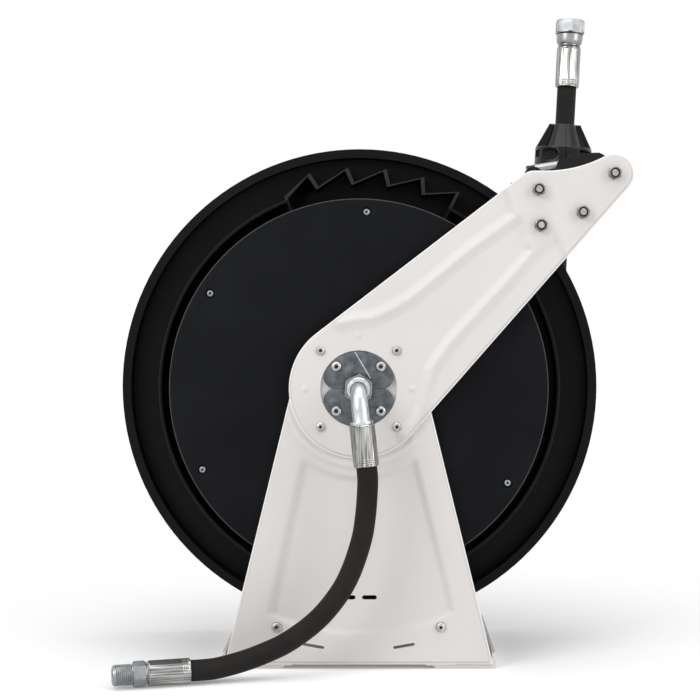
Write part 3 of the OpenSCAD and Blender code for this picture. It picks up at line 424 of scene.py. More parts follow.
PAINT = dict(colour=(0.735, 0.708, 0.690), second=(0.715, 0.688, 0.670), patch=9, grain=1500,
             rough=0.34, spread=0.05, relief=0.10, specular=0.35)
MATT_BLACK = dict(colour=(0.0052, 0.0056, 0.0064), second=(0.0072, 0.0076, 0.0086), patch=14,
                  grain=1100, rough=0.42, spread=0.06, relief=0.10, specular=0.08)
COVER_BLACK = dict(colour=(0.0058, 0.0062, 0.0074), second=(0.0085, 0.0090, 0.0104), patch=10,
                   grain=1600, rough=0.50, spread=0.05, relief=0.22, specular=0.065)
MOTTLED_ZINC = dict(colour=(0.085, 0.096, 0.106), second=(0.150, 0.165, 0.177), patch=130,
                    grain=700, rough=0.36, spread=0.14, relief=0.06, metallic=0.85)
WRAPPED_RUBBER = dict(colour=(0.0105, 0.0095, 0.009), second=(0.0175, 0.0158, 0.0148), patch=40,
                      grain=1400, rough=0.58, spread=0.08, relief=0.3, specular=0.13)
# Painted highlights on the edge of the flange's floor beside the teeth, its foot, and the rim of the
# cover
FLANGE_HIGHLIGHT_RINGS = [(0.2187, 0.0103, 0.054, 0.0562), (0.2077, 0.0005, 0.054, 0.0562)]
COVER_HIGHLIGHT_RING = [(0.1916, 0.0006, 0.01, 0.03)]
# From the upper plate's left shoulder down to the right of the hub
SCRATCH = ((-0.0038, 0.3191), (0.0119, 0.2926))

powder_coat = plain("white_powder_coat", **PAINT)
pressed_coat_highlighted = pressed("white_powder_coat_pressed_painted_edge_highlight", PAINT)
black_plastic = plain("black_moulded_plastic", **MATT_BLACK)
# Black plastics with painted highlights: lighter rings on the flange's edges and on the cover's rim
flange_plastic_highlighted = painted_highlight_rings("black_flange_plastic_painted_highlights", MATT_BLACK, FLANGE_HIGHLIGHT_RINGS, (0.030, 0.031, 0.033))
cover_plastic_highlighted = painted_highlight_rings("black_cover_plastic_painted_highlight", COVER_BLACK, COVER_HIGHLIGHT_RING, (0.060, 0.062, 0.066))
gloss_plastic = plain(
    "black_gloss_plastic", colour=(0.0060, 0.0058, 0.0066), second=(0.0082, 0.0080, 0.0092),
    patch=30, grain=700, rough=0.26, spread=0.06, relief=0.03, specular=0.22)
bright_zinc = plain(
    "bright_zinc", colour=(0.37, 0.37, 0.36), second=(0.26, 0.265, 0.265), patch=60, grain=900,
    rough=0.31, spread=0.08, relief=0.05, metallic=1.0)
steel = plain(
    "plated_steel", colour=(0.56, 0.56, 0.54), second=(0.38, 0.38, 0.37), patch=90, grain=900,
    rough=0.30, spread=0.10, relief=0.05, metallic=1.0)
dark_steel = plain(
    "dark_steel", colour=(0.10, 0.10, 0.105), second=(0.05, 0.05, 0.052), patch=120, grain=900,
    rough=0.38, spread=0.10, relief=0.08, metallic=1.0)
blued_steel = plain(
    "blued_spring_steel", colour=(0.10, 0.12, 0.16), second=(0.07, 0.08, 0.10), patch=40,
    grain=800, rough=0.30, spread=0.08, relief=0.03, metallic=1.0)
zinc_plate = marked("mottled_zinc_plate", MOTTLED_ZINC, SCRATCH, (0.55, 0.57, 0.58))
# Painted shade: a dark steel for the insides of sockets and nut bores, where shade falls
shaded_steel = plain(
    "shaded_socket_steel", colour=(0.045, 0.043, 0.040), second=(0.028, 0.027, 0.026), patch=160,
    grain=900, rough=0.45, spread=0.10, relief=0.06, metallic=1.0)
nut_steel = plain(
    "nut_steel", colour=(0.30, 0.29, 0.275), second=(0.16, 0.158, 0.155), patch=160, grain=900,
    rough=0.30, spread=0.10, relief=0.06, metallic=1.0)
nut_zinc = plain(
    "zinc_plated_nut", colour=(0.34, 0.355, 0.365), second=(0.26, 0.27, 0.28), patch=70, grain=900,
    rough=0.42, spread=0.08, relief=0.05, metallic=1.0)
polished_zinc = plain(
    "polished_zinc", colour=(0.64, 0.67, 0.69), second=(0.52, 0.55, 0.57), patch=50, grain=700,
    rough=0.30, spread=0.05, relief=0.02, metallic=1.0)
brass = plain(
    "machined_brass", colour=(0.60, 0.43, 0.18), second=(0.48, 0.33, 0.13), patch=50, grain=900,
    rough=0.28, spread=0.08, relief=0.04, metallic=1.0)
bush_plastic = plain(
    "bush_plastic", colour=(0.62, 0.56, 0.38), second=(0.56, 0.50, 0.33), patch=30, grain=800,
    rough=0.45, spread=0.06, relief=0.05)
seal_rubber = plain(
    "seal_rubber", colour=(0.010, 0.010, 0.010), second=(0.014, 0.014, 0.014), patch=60, grain=900,
    rough=0.55, spread=0.08, relief=0.08)
hose_plain = plain(
    "hose_rubber", colour=(0.015, 0.0135, 0.0125), second=(0.021, 0.019, 0.0175), patch=60,
    grain=1200, rough=0.62, spread=0.08, relief=0.35, specular=0.13)
hose_wrapped = wrapped("wrapped_hose_rubber", WRAPPED_RUBBER)
crimp_upright = crimped("crimped_zinc_upright_painted_streaks", (620, 620, 26))
crimp_level = crimped("crimped_zinc_level_painted_streaks", (26, 620, 620), plan_turn=16.4)

finish_of = {
    "painted_steel": powder_coat, "zinc_plate": zinc_plate, "zinc_steel": bright_zinc,
    "screws": steel, "dark_steel": dark_steel, "spring_steel": blued_steel,
    "black_plastic": black_plastic, "gloss_black": gloss_plastic, "hose_rubber": hose_plain,
    "seal_rubber": seal_rubber, "bush_plastic": bush_plastic, "brass": brass,
}
for entry in frame["record"]["subparts"]:
    materials = nodes[entry["node"]].data.materials
    materials.clear()
    materials.append(finish_of[entry["material_slot"]])
# The drum's flange and cover take the plastics with painted highlights
nodes["spring_cover"].data.materials[0] = cover_plastic_highlighted
nodes["front_flange"].data.materials[0] = flange_plastic_highlighted


# ---------------------------------------------------------------- light and floor

WHITE = (1, 1, 1, 1)
AMBIENT = 0.42
FLOOR_LIFT = 0.16  # own light of the floor for the camera, which keeps its shadows soft


def lamp(name, place, target, size, energy):
    data = bpy.data.lights.new(name, "AREA")
    data.shape = "RECTANGLE"
    data.size, data.size_y = size
    data.energy = energy
    o = linked(name, data)
    o.location = place
    o.rotation_euler = (Vector(target) - Vector(place)).to_track_quat("-Z", "Y").to_euler()


lamp("key_left", (-1.9, -1.9, 1.7), (0, 0, 0.33), (1.4, 1.8), 34)
lamp("fill_right", (2.1, -1.5, 1.2), (0, 0, 0.33), (1.2, 1.8), 20)
lamp("top", (0.1, -0.3, 2.3), (0, 0, 0.3), (2.0, 1.6), 22)

world = bpy.data.worlds.new("studio")
bpy.context.scene.world = world
world.use_nodes = True
tree = world.node_tree
tree.nodes.clear()
soft = node(tree, "Background", {"Color": WHITE, "Strength": AMBIENT})
white = node(tree, "Background", {"Color": WHITE, "Strength": 1.0})
both = node(tree, "MixShader", {0: seen_ray(tree), 1: soft.outputs[0], 2: white.outputs[0]})
tree.links.new(both.outputs[0], node(tree, "OutputWorld").inputs[0])

bpy.ops.object.select_all(action="DESELECT")
bpy.ops.mesh.primitive_plane_add(size=8, location=(0, 0, 0))
floor = bpy.context.object
floor.name = "floor"
floor_material, tree, shader = principled("pale_floor", specular=0.0)
shader["Base Color"].default_value = (0.93, 0.93, 0.93, 1)
shader["Roughness"].default_value = 0.8
# Where it is seen, the floor goes over to the white of the world away from the reel
seen = seen_ray(tree)
away = node(tree, "VectorMath", {0: object_place(tree)}, operation="LENGTH").outputs["Value"]
far = map_range(tree, away, (0.22, 0.62), (0.0, 1.0), "SMOOTHSTEP")
white = node(tree, "Emission", {"Color": WHITE, "Strength": 1.0})
lift = node(tree, "Emission", {"Color": WHITE,
                               "Strength": maths(tree, "MULTIPLY", seen, FLOOR_LIFT)})
lifted = node(tree, "AddShader", {0: tree.nodes["Principled BSDF"].outputs[0], 1: lift.outputs[0]})
both = node(tree, "MixShader", {0: maths(tree, "MULTIPLY", far, seen), 1: lifted.outputs[0],
                                2: white.outputs[0]})
tree.links.new(both.outputs[0], tree.nodes["Material Output"].inputs["Surface"])
floor.data.materials.append(floor_material)


# ---------------------------------------------------------------- inlet hose

# Middle of the hose, from the elbow's ferrule to the fitting: X, Y and Z in millimetres
ROUTE = [(8.2, -146.8, 207.95), (9.4, -146.8, 196), (8.9, -146.8, 180), (7.2, -146.9, 159.5),
         (3.3, -147, 136), (-7.1, -147.1, 105), (-20.1, -147.2, 81.5), (-40, -147.5, 58.2),
         (-66.4, -148.2, 38.3), (-89.7, -149.8, 27), (-112.8, -153, 19), (-135.5, -158.4, 14),
         (-149.5, -162.2, 13), (-162, -165.8, 13)]
HOSE_SIDES = 40

route = curve_points([[c / 1000 for c in p] for p in ROUTE], 6)
inlet_hose = tube("inlet_hose_braid", route, HOSE_R, HOSE_SIDES)
dress(inlet_hose, hose_wrapped, "frame")
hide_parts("inlet_hose")


# ---------------------------------------------------------------- pressed sheets

SHEET = 3
PRESS = 4  # depth of the pressed work
ARM_BOX = (-74, 280, -74, 240)  # X and Z that the arm's mesh is cut from
ARM_STEP = 1.6
SLOPE = math.radians(37.5)  # of the arm's upper edge
HUB_R = 70
HUB_HOLE_R = 38.5
ARM_TOP = 218.4
CORNER_R = 17
HOLLOW_R = 125  # of the hollow in the arm's top edge
TIP = (255.8, 215.6)
TIP_R = 19.8
NUTS = [(180.1, 199.5), (182.2, 163.6), (224.1, 176.7), TIP]
NUT_HOLE_R = 4.3
QUARTERS = (45, 135, 225, 315)
HUB_SCREWS_R = 54
RETAINER_SCREWS_R = 31.5
SCREW_HOLE_R = 2.8
FOOT_SCREW = (82.5, -239.5)

# Crests of the arm's two ridges, and the edge of its raised tip
RIDGE_A = [(-18, 66), (-3, 69.5), (14, 71), (30, 78), (52, 90.5), (111.4, 139), (147.4, 165.2),
           (178, 188)]
RIDGE_B = [(46, -47), (57, -33), (63.5, -19), (66.8, -3), (72.5, 18.4), (93.4, 48.2),
           (122.2, 78.8), (147.4, 105.8), (174.4, 136), (203, 166)]
TIP_EDGE = [(140, 212), (152, 196), (156, 186), (158, 177), (163, 176), (170, 168), (173, 157),
            (173, 146), (177, 140), (196, 159), (204, 150), (211, 134), (216, 120)]
TIP_FIELD = TIP_EDGE + [(290, 130), (290, 250), (160, 250)]
DIMPLE_RING_R = 53.9
DIMPLE_R = 3.6
DIMPLE_H = 1.5

PED_BOX = (-138, 138, -279, 68)
PED_STEP = 2.0
PED_HALF = 67.2  # half width of a pedestal at the drum axis
PED_FLARE = 0.245  # its sides' slope, sideways per height
PED_FOOT = -277
PANEL_LEFT = ((-59.6, -65.2), (-95, -228))
PANEL_RIGHT = ((99, -227.6), (58.1, -65.2))
PANEL_LOW_R = 230  # of the panel's lower edge, round a point below the axis
PANEL_LOW_Z = -18.5
PANEL_TOP_R = 87
BEAD_R = 77
BEAD_H = 2
BEAD_ENDS = (188, 320)
AXLE_HOLE_R = 15.5
RETAINER_HOLE_R = 3.3
PANEL_SLOT = (10.75, -210.5, 15, 4.5)
FOOT_SLOT = (45.5, -258.5, 22, 3)
FOOT_SLOT_TURN = 10


def polar(r, degrees):
    return r * math.cos(math.radians(degrees)), r * math.sin(math.radians(degrees))


def arc(cx, cz, r, a0, a1, step=3):
    n = max(2, int(abs(a1 - a0) / step) + 1)
    turns = (math.radians(a0 + (a1 - a0) * i / (n - 1)) for i in range(n))
    return [(cx + r * math.cos(a), cz + r * math.sin(a)) for a in turns]


def small_hole(x, z, r):
    return arc(x, z, r, 0, 345, 15)


def far_from(line, x, z):
    """Distance of a point from a line of stretches."""
    best = math.inf
    for (ax, az), (bx, bz) in zip(line, line[1:]):
        dx, dz = bx - ax, bz - az
        t = max(0.0, min(1.0, ((x - ax) * dx + (z - az) * dz) / (dx * dx + dz * dz)))
        best = min(best, math.hypot(x - ax - t * dx, z - az - t * dz))
    return best


def inside(loop, x, z):
    hit = False
    for (ax, az), (bx, bz) in zip(loop, loop[1:] + loop[:1]):
        if (az > z) != (bz > z) and x < (bx - ax) * (z - az) / (bz - az) + ax:
            hit = not hit
    return hit


def ease(t):
    t = max(0.0, min(1.0, t))
    return t * t * (3 - 2 * t)


def prism(name, loops, y0, y1):
    """Closed solids over outlines drawn in X and Z, in millimetres round the hub, in one piece."""
    bm = bmesh.new()
    for loop in loops:
        face = bm.faces.new([bm.verts.new((x / 1000, y0, HUB + z / 1000)) for x, z in loop])
        moved = bmesh.ops.extrude_face_region(bm, geom=[face])
        for v in moved["geom"]:
            if isinstance(v, bmesh.types.BMVert):
                v.co.y = y1
    bmesh.ops.recalc_face_normals(bm, faces=bm.faces)
    return from_bmesh(name, bm)


def cut(o, cutter, operation="DIFFERENCE"):
    m = o.modifiers.new("cut", "BOOLEAN")
    m.operation = operation
    m.solver = "EXACT"
    m.object = cutter
    apply_all(o)
    bpy.data.objects.remove(cutter, do_unlink=True)
    return o


def pressed_sheet(name, outline, holes, box, level, height, pitch):
    """A sheet pressed to height(x, z) in front of depth level, cut to its outline and holes."""
    x0, x1, z0, z1 = box
    middle = ((x0 + x1) / 2000, FRONT + level / 1000, HUB + (z0 + z1) / 2000)
    bpy.ops.object.select_all(action="DESELECT")
    bpy.ops.mesh.primitive_grid_add(
        x_subdivisions=int((x1 - x0) / pitch), y_subdivisions=int((z1 - z0) / pitch), size=1,
        location=middle, rotation=(math.radians(90), 0, 0))
    o = bpy.context.object
    o.name = name
    o.scale = ((x1 - x0) / 1000, (z1 - z0) / 1000, 1)
    settle(o)
    for v in o.data.vertices:
        v.co.y -= height(v.co.x * 1000, (v.co.z - HUB) * 1000) / 1000
    m = o.modifiers.new("sheet", "SOLIDIFY")
    m.thickness = SHEET / 1000
    m.offset = -1
    m.use_even_offset = True
    apply_all(o)
    through = (FRONT - 0.02, FRONT + 0.04)
    cut(o, prism("outline", [outline], *through), "INTERSECT")
    cut(o, prism("holes", holes, *through))
    line = outline + outline[:1]
    rim = o.data.attributes.new("rim_mm", "FLOAT", "POINT")
    for v in o.data.vertices:
        away = far_from(line, v.co.x * 1000, (v.co.z - HUB) * 1000)
        rim.data[v.index].value = min(6.0, away)
    return smooth(o, 40)


def arm_outline():
    """Round the hub, along the lower edge, round the tip and back by the hollow top edge."""
    tip_far = math.hypot(*TIP)
    low = math.degrees(math.atan2(TIP[1], TIP[0]) + math.asin((HUB_R - TIP_R) / tip_far))
    corner_z = ARM_TOP - CORNER_R
    corner_x = (math.cos(SLOPE) * corner_z - (HUB_R - CORNER_R)) / math.sin(SLOPE)
    hollow_z = ARM_TOP + HOLLOW_R
    hollow_x = TIP[0] - math.sqrt((HOLLOW_R + TIP_R) ** 2 - (hollow_z - TIP[1]) ** 2)
    meets = math.degrees(math.atan2(hollow_z - TIP[1], hollow_x - TIP[0]))
    upper = 90 + math.degrees(SLOPE)
    loop = arc(0, 0, HUB_R, upper, 270 + low, 2.5)
    loop += arc(*TIP, TIP_R, low - 90, meets, 6)
    loop += arc(hollow_x, hollow_z, HOLLOW_R, meets - 180, -90, 2.5)
    loop += arc(corner_x, corner_z, CORNER_R, 90, upper, 6)
    return loop


def crest(line, x, z):
    """A ridge with a narrow crest and long soft sides."""
    away = max(0.0, far_from(line, x, z) - 0.7)
    return PRESS * max(0.0, 1 - away / 9) ** 1.25


def arm_height(x, z):
    if inside(TIP_FIELD, x, z):
        return PRESS
    h = max(crest(RIDGE_A, x, z), crest(RIDGE_B, x, z),
            PRESS * ease(1 - far_from(TIP_EDGE, x, z) / 10))
    for a in (0, 90, 180, 270):
        px, pz = polar(DIMPLE_RING_R, a)
        h = max(h, DIMPLE_H * ease((DIMPLE_R - math.hypot(x - px, z - pz)) / 2.0))
    return h


def arm(name):
    holes = [arc(0, 0, HUB_HOLE_R, 0, 356, 4)]
    holes += [small_hole(*polar(HUB_SCREWS_R, a), SCREW_HOLE_R) for a in QUARTERS]
    holes += [small_hole(x, z, NUT_HOLE_R) for x, z in NUTS]
    return pressed_sheet(name, arm_outline(), holes, ARM_BOX, PRESS, arm_height, ARM_STEP)


def pedestal_outline():
    flare = math.degrees(math.atan(PED_FLARE))
    r = PED_HALF * math.cos(math.radians(flare))
    half = PED_HALF - PED_FLARE * PED_FOOT
    return arc(0, 0, r, flare, 180 - flare) + [(-half, PED_FOOT), (half, PED_FOOT)]


def edge_gap(a, b, x, z):
    """Distance of a point to the left of the line from a to b."""
    dx, dz = b[0] - a[0], b[1] - a[1]
    return (dx * (z - a[1]) - dz * (x - a[0])) / math.hypot(dx, dz)


def pedestal_height(x, z):
    """A panel pressed in between four edges, and a bead pressed out round the hub."""
    r = math.hypot(x, z)
    left = edge_gap(*PANEL_LEFT, x, z)
    right = edge_gap(*PANEL_RIGHT, x, z)
    low = PANEL_LOW_R - math.hypot(x, z - PANEL_LOW_Z)
    panel = ease(left / 13) * ease(right / 7) * ease(low / 6) * ease((r - PANEL_TOP_R) / 7)
    turn = math.degrees(math.atan2(z, x)) % 360
    ends = ease((turn - BEAD_ENDS[0]) / 4) * ease((BEAD_ENDS[1] - turn) / 4)
    bead = BEAD_H * ease((4.6 - abs(r - BEAD_R)) / 2.4) * ends
    return bead - PRESS * panel


def oval(x, z, w, h, turn=0):
    """A slot of width w and height h with round ends, turned by degrees."""
    out = []
    for cx, a0 in ((w / 2 - h / 2, -90), (h / 2 - w / 2, 90)):
        out += arc(cx, 0, h / 2, a0, a0 + 180, 30)
    c, s = math.cos(math.radians(turn)), math.sin(math.radians(turn))
    return [(x + px * c - pz * s, z + px * s + pz * c) for px, pz in out]


def pedestal(name):
    holes = [arc(0, 0, AXLE_HOLE_R, 0, 350, 10)]
    holes += [small_hole(*polar(HUB_SCREWS_R, a), SCREW_HOLE_R) for a in QUARTERS]
    holes += [small_hole(*polar(RETAINER_SCREWS_R, a), RETAINER_HOLE_R) for a in QUARTERS]
    for s in (-1, 1):
        holes.append(oval(s * PANEL_SLOT[0], *PANEL_SLOT[1:]))
        holes.append(oval(s * FOOT_SLOT[0], *FOOT_SLOT[1:], s * FOOT_SLOT_TURN))
        holes.append(small_hole(s * FOOT_SCREW[0], FOOT_SCREW[1], SCREW_HOLE_R))
    return pressed_sheet(name, pedestal_outline(), holes, PED_BOX, PRESS + SHEET,
                         pedestal_height, PED_STEP)


def behind(o, name):
    """The same pressing mirrored to the rear side."""
    twin = linked(name, o.data.copy())
    twin.scale.y = -1
    recalculate(settle(twin))
    return twin


front_arm = arm("front_arm_pressing")
rear_arm = behind(front_arm, "rear_arm_pressing")
front_pedestal = pedestal("front_pedestal_pressing")
rear_pedestal = behind(front_pedestal, "rear_pedestal_pressing")
for pressing, replaced in (
        (front_arm, "front_arm"), (rear_arm, "rear_arm"), (front_pedestal, "front_pedestal"),
        (rear_pedestal, "rear_pedestal")):
    dress(pressing, pressed_coat_highlighted, "frame")
    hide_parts(replaced)


# ---------------------------------------------------------------- eased edges on rigid pieces

def eased(name, width=0.0, segments=2, angle=32, flat=1.5):
    """A copy of a solid with its edges broken, to stand for it."""
    o = nodes[name].copy()
    o.data = nodes[name].data.copy()
    o.name = name + "_eased"
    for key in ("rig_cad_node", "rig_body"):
        if key in o:
            del o[key]
    o.parent = None
    bpy.context.scene.collection.objects.link(o)
    o.hide_render = False
    only(o)
    bpy.ops.object.mode_set(mode="EDIT")
    bpy.ops.mesh.select_all(action="SELECT")
    bpy.ops.mesh.remove_doubles(threshold=0.000005)
    bpy.ops.mesh.dissolve_limited(angle_limit=math.radians(flat))
    bpy.ops.object.mode_set(mode="OBJECT")
    if width:
        bevel(o, width, segments, angle)
    return smooth(o, 32)


CHEEK_EDGES = dict(width=0.0009, segments=3)
for name, body, slot, material, edges in (
        ("upper_retainer_plate", "frame", "zinc_plate", zinc_plate, dict(width=0.0005)),
        ("lower_retainer_plate", "frame", "zinc_plate", zinc_plate, dict(width=0.0005)),
        ("base_plate", "frame", "painted_steel", powder_coat, dict(width=0.0006)),
        ("front_guide_cheek", "frame", "black_plastic", gloss_plastic, CHEEK_EDGES),
        ("rear_guide_cheek", "frame", "black_plastic", gloss_plastic, CHEEK_EDGES),
        ("rear_flange", "drum", "black_plastic", black_plastic, dict(width=0.0006)),
        ("spring_case", "drum", "black_plastic", black_plastic, dict(width=0.0006)),
        ("front_flange", "drum", "black_plastic", flange_plastic_highlighted, dict(flat=0.05)),
        ("spring_cover", "drum", "black_plastic", cover_plastic_highlighted, dict(width=0.0008, segments=3))):
    copy = eased(name, **edges)
    dress(copy, material, body)
    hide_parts(name)


# ---------------------------------------------------------------- turned pieces

def at(x, d, z):
    """A place from its X, depth behind the front and height over the drum axis, in millimetres."""
    return Vector((x / 1000, FRONT + d / 1000, HUB + z / 1000))


def hexagon(af, turn=0.0):
    """Radius of a hexagon with a corner at turn, seen at angle a."""
    return lambda a, h: af / 2 / math.cos(math.radians((a - turn) % 60 - 30))


def least(*radii):
    return lambda a, h: min(r(a, h) if callable(r) else r for r in radii)


def crimp(flat, full):
    """Eight pressed flats with a thin rib of squeezed metal between them."""
    def radius(a, h):
        u = a % 45 - 22.5
        if abs(u) > 20.5:
            return full + 0.12
        return min(flat / math.cos(math.radians(u)), full)
    return radius


def thread(r, pitch, deep):
    def radius(a, h):
        u = (h / pitch - a / 360) % 1
        return r - deep * abs(2 * u - 1)
    return radius


def turned(bm, place, axis, rings, n=48, side=(1, 0, 0), closed=False, rear=False, dark=math.inf):
    """Adds a solid of rings (radius, distance along the axis), in millimetres, to a mesh.

    A radius is a number or a function of the angle and the distance. Closed rings make a bored
    solid, rear mirrors it to the reel's back, and from ring dark on it takes the second material, a
    painted shade.
    """
    axis = Vector(axis).normalized()
    side = Vector(side)
    side = (side - axis * side.dot(axis)).normalized()
    up = axis.cross(side)
    loops = []
    for r, h in rings:
        loop = []
        for k in range(n):
            a = 360 * k / n
            radius = (r(a, h) if callable(r) else r) / 1000
            w = math.radians(a)
            out = side * math.cos(w) + up * math.sin(w)
            loop.append(place + axis * h / 1000 + radius * out)
        loops.append(loop)
    if rear:
        loops = [[Vector((v.x, -v.y, v.z)) for v in reversed(loop)] for loop in loops]
    loops = [[bm.verts.new(v) for v in loop] for loop in loops]
    count = len(loops)
    for i in range(count if closed else count - 1):
        one, two = loops[i], loops[(i + 1) % count]
        for k in range(n):
            j = (k + 1) % n
            bm.faces.new((one[k], one[j], two[j], two[k])).material_index = int(i >= dark)
    if not closed:
        bm.faces.new(tuple(reversed(loops[0])))
        bm.faces.new(tuple(loops[-1])).material_index = int(dark < count)


def turned_piece(name, solids, material, body, replaced, angle=30):
    """One piece of turned solids that stands for a node."""
    bm = bmesh.new()
    for solid in solids:
        turned(bm, **solid)
    bm.normal_update()
    o = smooth(from_bmesh(name, bm), angle)
    marks = [face.material_index for face in o.data.polygons]
    dress(o, material, body)
    if any(marks):
        # The faces from ring dark on take the dark steel of painted shade
        o.data.materials.append(shaded_steel)
        for face, mark in zip(o.data.polygons, marks):
            face.material_index = mark
    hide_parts(replaced)


def add_turned(o, **solid):
    """Adds a turned solid to a piece that is there already."""
    bm = bmesh.new()
    bm.from_mesh(o.data)
    turned(bm, **solid)
    bm.to_mesh(o.data)
    bm.free()


FORWARD = (0, -1, 0)
UPRIGHT = (0, 0, 1)
COVER_SCREWS_R = 178.5
COVER_TURNS = [27.5 + 60 * i for i in range(6)]


def button(x, d, z, r, head_r, head_h, shank, af, rear=False):
    """A screw with a domed head and a socket in painted shade on the face at depth d, its shank
    inwards.
    """
    socket = hexagon(af, 15)
    rings = [(r - 0.4, -shank), (r, -shank + 0.5), (r, 0), (head_r, 0), (head_r, 0.3 * head_h),
             (0.96 * head_r, 0.52 * head_h), (0.87 * head_r, 0.74 * head_h),
             (0.74 * head_r, 0.92 * head_h), (0.62 * head_r, head_h), (0.72 * af, head_h),
             (socket, head_h - 0.25), (socket, 0.25 * head_h), (0.3, 0.1 * head_h)]
    return dict(place=at(x, d, z), axis=FORWARD, rings=rings, rear=rear, dark=10)


def domed_screws(name, spots, material, body, sides=(False, True), **sizes):
    """The screws of a node on the front side, and on the rear side too where it has them there."""
    solids = [button(*spot, rear=rear, **sizes) for rear in sides for spot in spots]
    turned_piece(name + "_domed", solids, material, body, name)


def ring_spots(r, angles, d):
    return [(x, d, z) for x, z in (polar(r, a) for a in angles)]


domed_screws("hub_screws", ring_spots(HUB_SCREWS_R, QUARTERS, 4), steel, "frame",
             r=2.5, head_r=4.75, head_h=2.7, shank=11, af=3.2)
domed_screws("retainer_screws", ring_spots(RETAINER_SCREWS_R, QUARTERS, 3), steel, "frame",
             sides=(False,), r=3, head_r=5.25, head_h=3, shank=12, af=4)
domed_screws("pedestal_screws", [(s * FOOT_SCREW[0], 7, FOOT_SCREW[1]) for s in (-1, 1)], steel,
             "frame", r=2.5, head_r=5.2, head_h=3.3, shank=6, af=3.2)
domed_screws("cover_screws", ring_spots(COVER_SCREWS_R, COVER_TURNS, 19.2), nut_zinc, "drum",
             sides=(False,), r=2, head_r=3.6, head_h=1.9, shank=17, af=2.6)

# Nuts on the arms with the ends of their bolts
NUT_AF = 12
NUT_H = 7
NUT_BORE_R = 4.1
BOLT_END = [(7.3, 0), (7.5, 0.3), (7.5, 5.3), (4, 5.3), (4, 19.2), (3.3, 19.9), (3.1, 20.9),
            (2.8, 21.2)]
nut_hex = hexagon(NUT_AF, 21)
nut_rings = [
    (least(nut_hex, NUT_AF / 2 + 0.1), 0), (least(nut_hex, NUT_AF * 0.545), 0.45), (nut_hex, 0.8),
    (nut_hex, NUT_H - 1.0), (least(nut_hex, NUT_AF * 0.55), NUT_H - 0.62),
    (least(nut_hex, NUT_AF * 0.515), NUT_H - 0.28), (least(nut_hex, NUT_AF * 0.475), NUT_H),
    (NUT_BORE_R + 0.75, NUT_H), (NUT_BORE_R, NUT_H - 0.7), (NUT_BORE_R, 0.6),
    (NUT_BORE_R + 0.5, 0)]
sides = [(x, z, rear) for x, z in NUTS for rear in (False, True)]
# The nuts' hole chamfer and bore, from ring 7 on, are painted dark as shade
turned_piece("guide_nuts_chamfered", [
    dict(place=at(x, 0, z), axis=FORWARD, rings=nut_rings, n=96, rear=rear, closed=True, dark=7)
    for x, z, rear in sides], nut_steel, "frame", "guide_nuts")
turned_piece("guide_bolts_turned", [
    dict(place=at(x, 13, z), axis=FORWARD, rings=BOLT_END, rear=rear) for x, z, rear in sides],
    steel, "frame", "guide_bolts")

# Crimped ferrules, hose fittings and the threaded inlet fitting
LEG = math.radians(6.3)  # slope of the elbow's leg
LEG_L = 0.0745
# Where the pieces of the hose's end start along its straight run
END_FERRULE_AT = 0.333
END_STEM_AT = 0.376
SWIVEL_AT = 0.3903
leg_axis = Vector((math.sin(LEG), 0, -math.cos(LEG)))
elbow_end = at(0, -36, 0) + leg_axis * LEG_L
hose_axis = Vector((math.sin(LEAN), 0, math.cos(LEAN)))
hose_foot = Vector((COIL_R * math.cos(LEAN), FRONT + D_LEAD, HUB - COIL_R * math.sin(LEAN)))
fit_axis = Vector((-0.9593, -0.2823, 0))
fit_foot = Vector([c / 1000 for c in ROUTE[-1]])
FERRULE_BORE = 8.2
HALF_INCH_PITCH = 1.814


def ferrule_rings(length, r, far_band):
    """From the hose end at 0: a crimped length with three bands, between plain ends."""
    flats = crimp(r - 0.75, r)
    rings = [(FERRULE_BORE, 0), (r - 0.5, 0), (r, 0.4), (r, 1.4)]
    for h in (3.0, 5.0, 7.0):
        rings += [(flats, h - 0.6), (crimp(r - 0.3, r), h), (flats, h + 0.6)]
    rings += [(flats, length - far_band), (r, length - far_band + 0.8), (r, length - 0.9),
              (r - 0.8, length), (FERRULE_BORE, length)]
    return rings


def bored_piece(name, place, axis, rings, material, replaced, body="frame", n=96, angle=25, **kw):
    solid = dict(place=place, axis=axis, n=n, closed=True, rings=rings, **kw)
    turned_piece(name, [solid], material, body, replaced, angle)


bored_piece("elbow_ferrule_crimped", elbow_end, -leg_axis, ferrule_rings(41, 12.4, 2.2),
            crimp_upright, "elbow_ferrule", angle=20)
bored_piece("inlet_ferrule_crimped", fit_foot, fit_axis, ferrule_rings(40.5, 12.4, 2.2),
            crimp_level, "inlet_hose_ferrule", angle=20, side=UPRIGHT)
bored_piece("hose_end_ferrule_crimped", hose_foot + hose_axis * END_FERRULE_AT, hose_axis,
            ferrule_rings(43, 12.75, 2.6), crimp_upright, "hose_end_ferrule", angle=20)

STEM_RINGS = [
    (6, -20), (8, -20), (8, -0.5), (11.6, 0.2), (12.2, 0.8), (11.2, 1.7), (11.2, 2.6), (12.3, 3.0),
    (13.4, 4.6), (13.7, 6.2), (14.0, 9.0), (14.2, 13.2), (13.7, 14), (8, 14), (8, 17.4),
    (9.4, 17.6), (9.4, 20.2), (8.4, 20.4), (6.4, 18.2), (6, 17)]
bored_piece("hose_end_stem_turned", hose_foot + hose_axis * END_STEM_AT, hose_axis, STEM_RINGS,
            bright_zinc, "hose_end_stem", n=64)

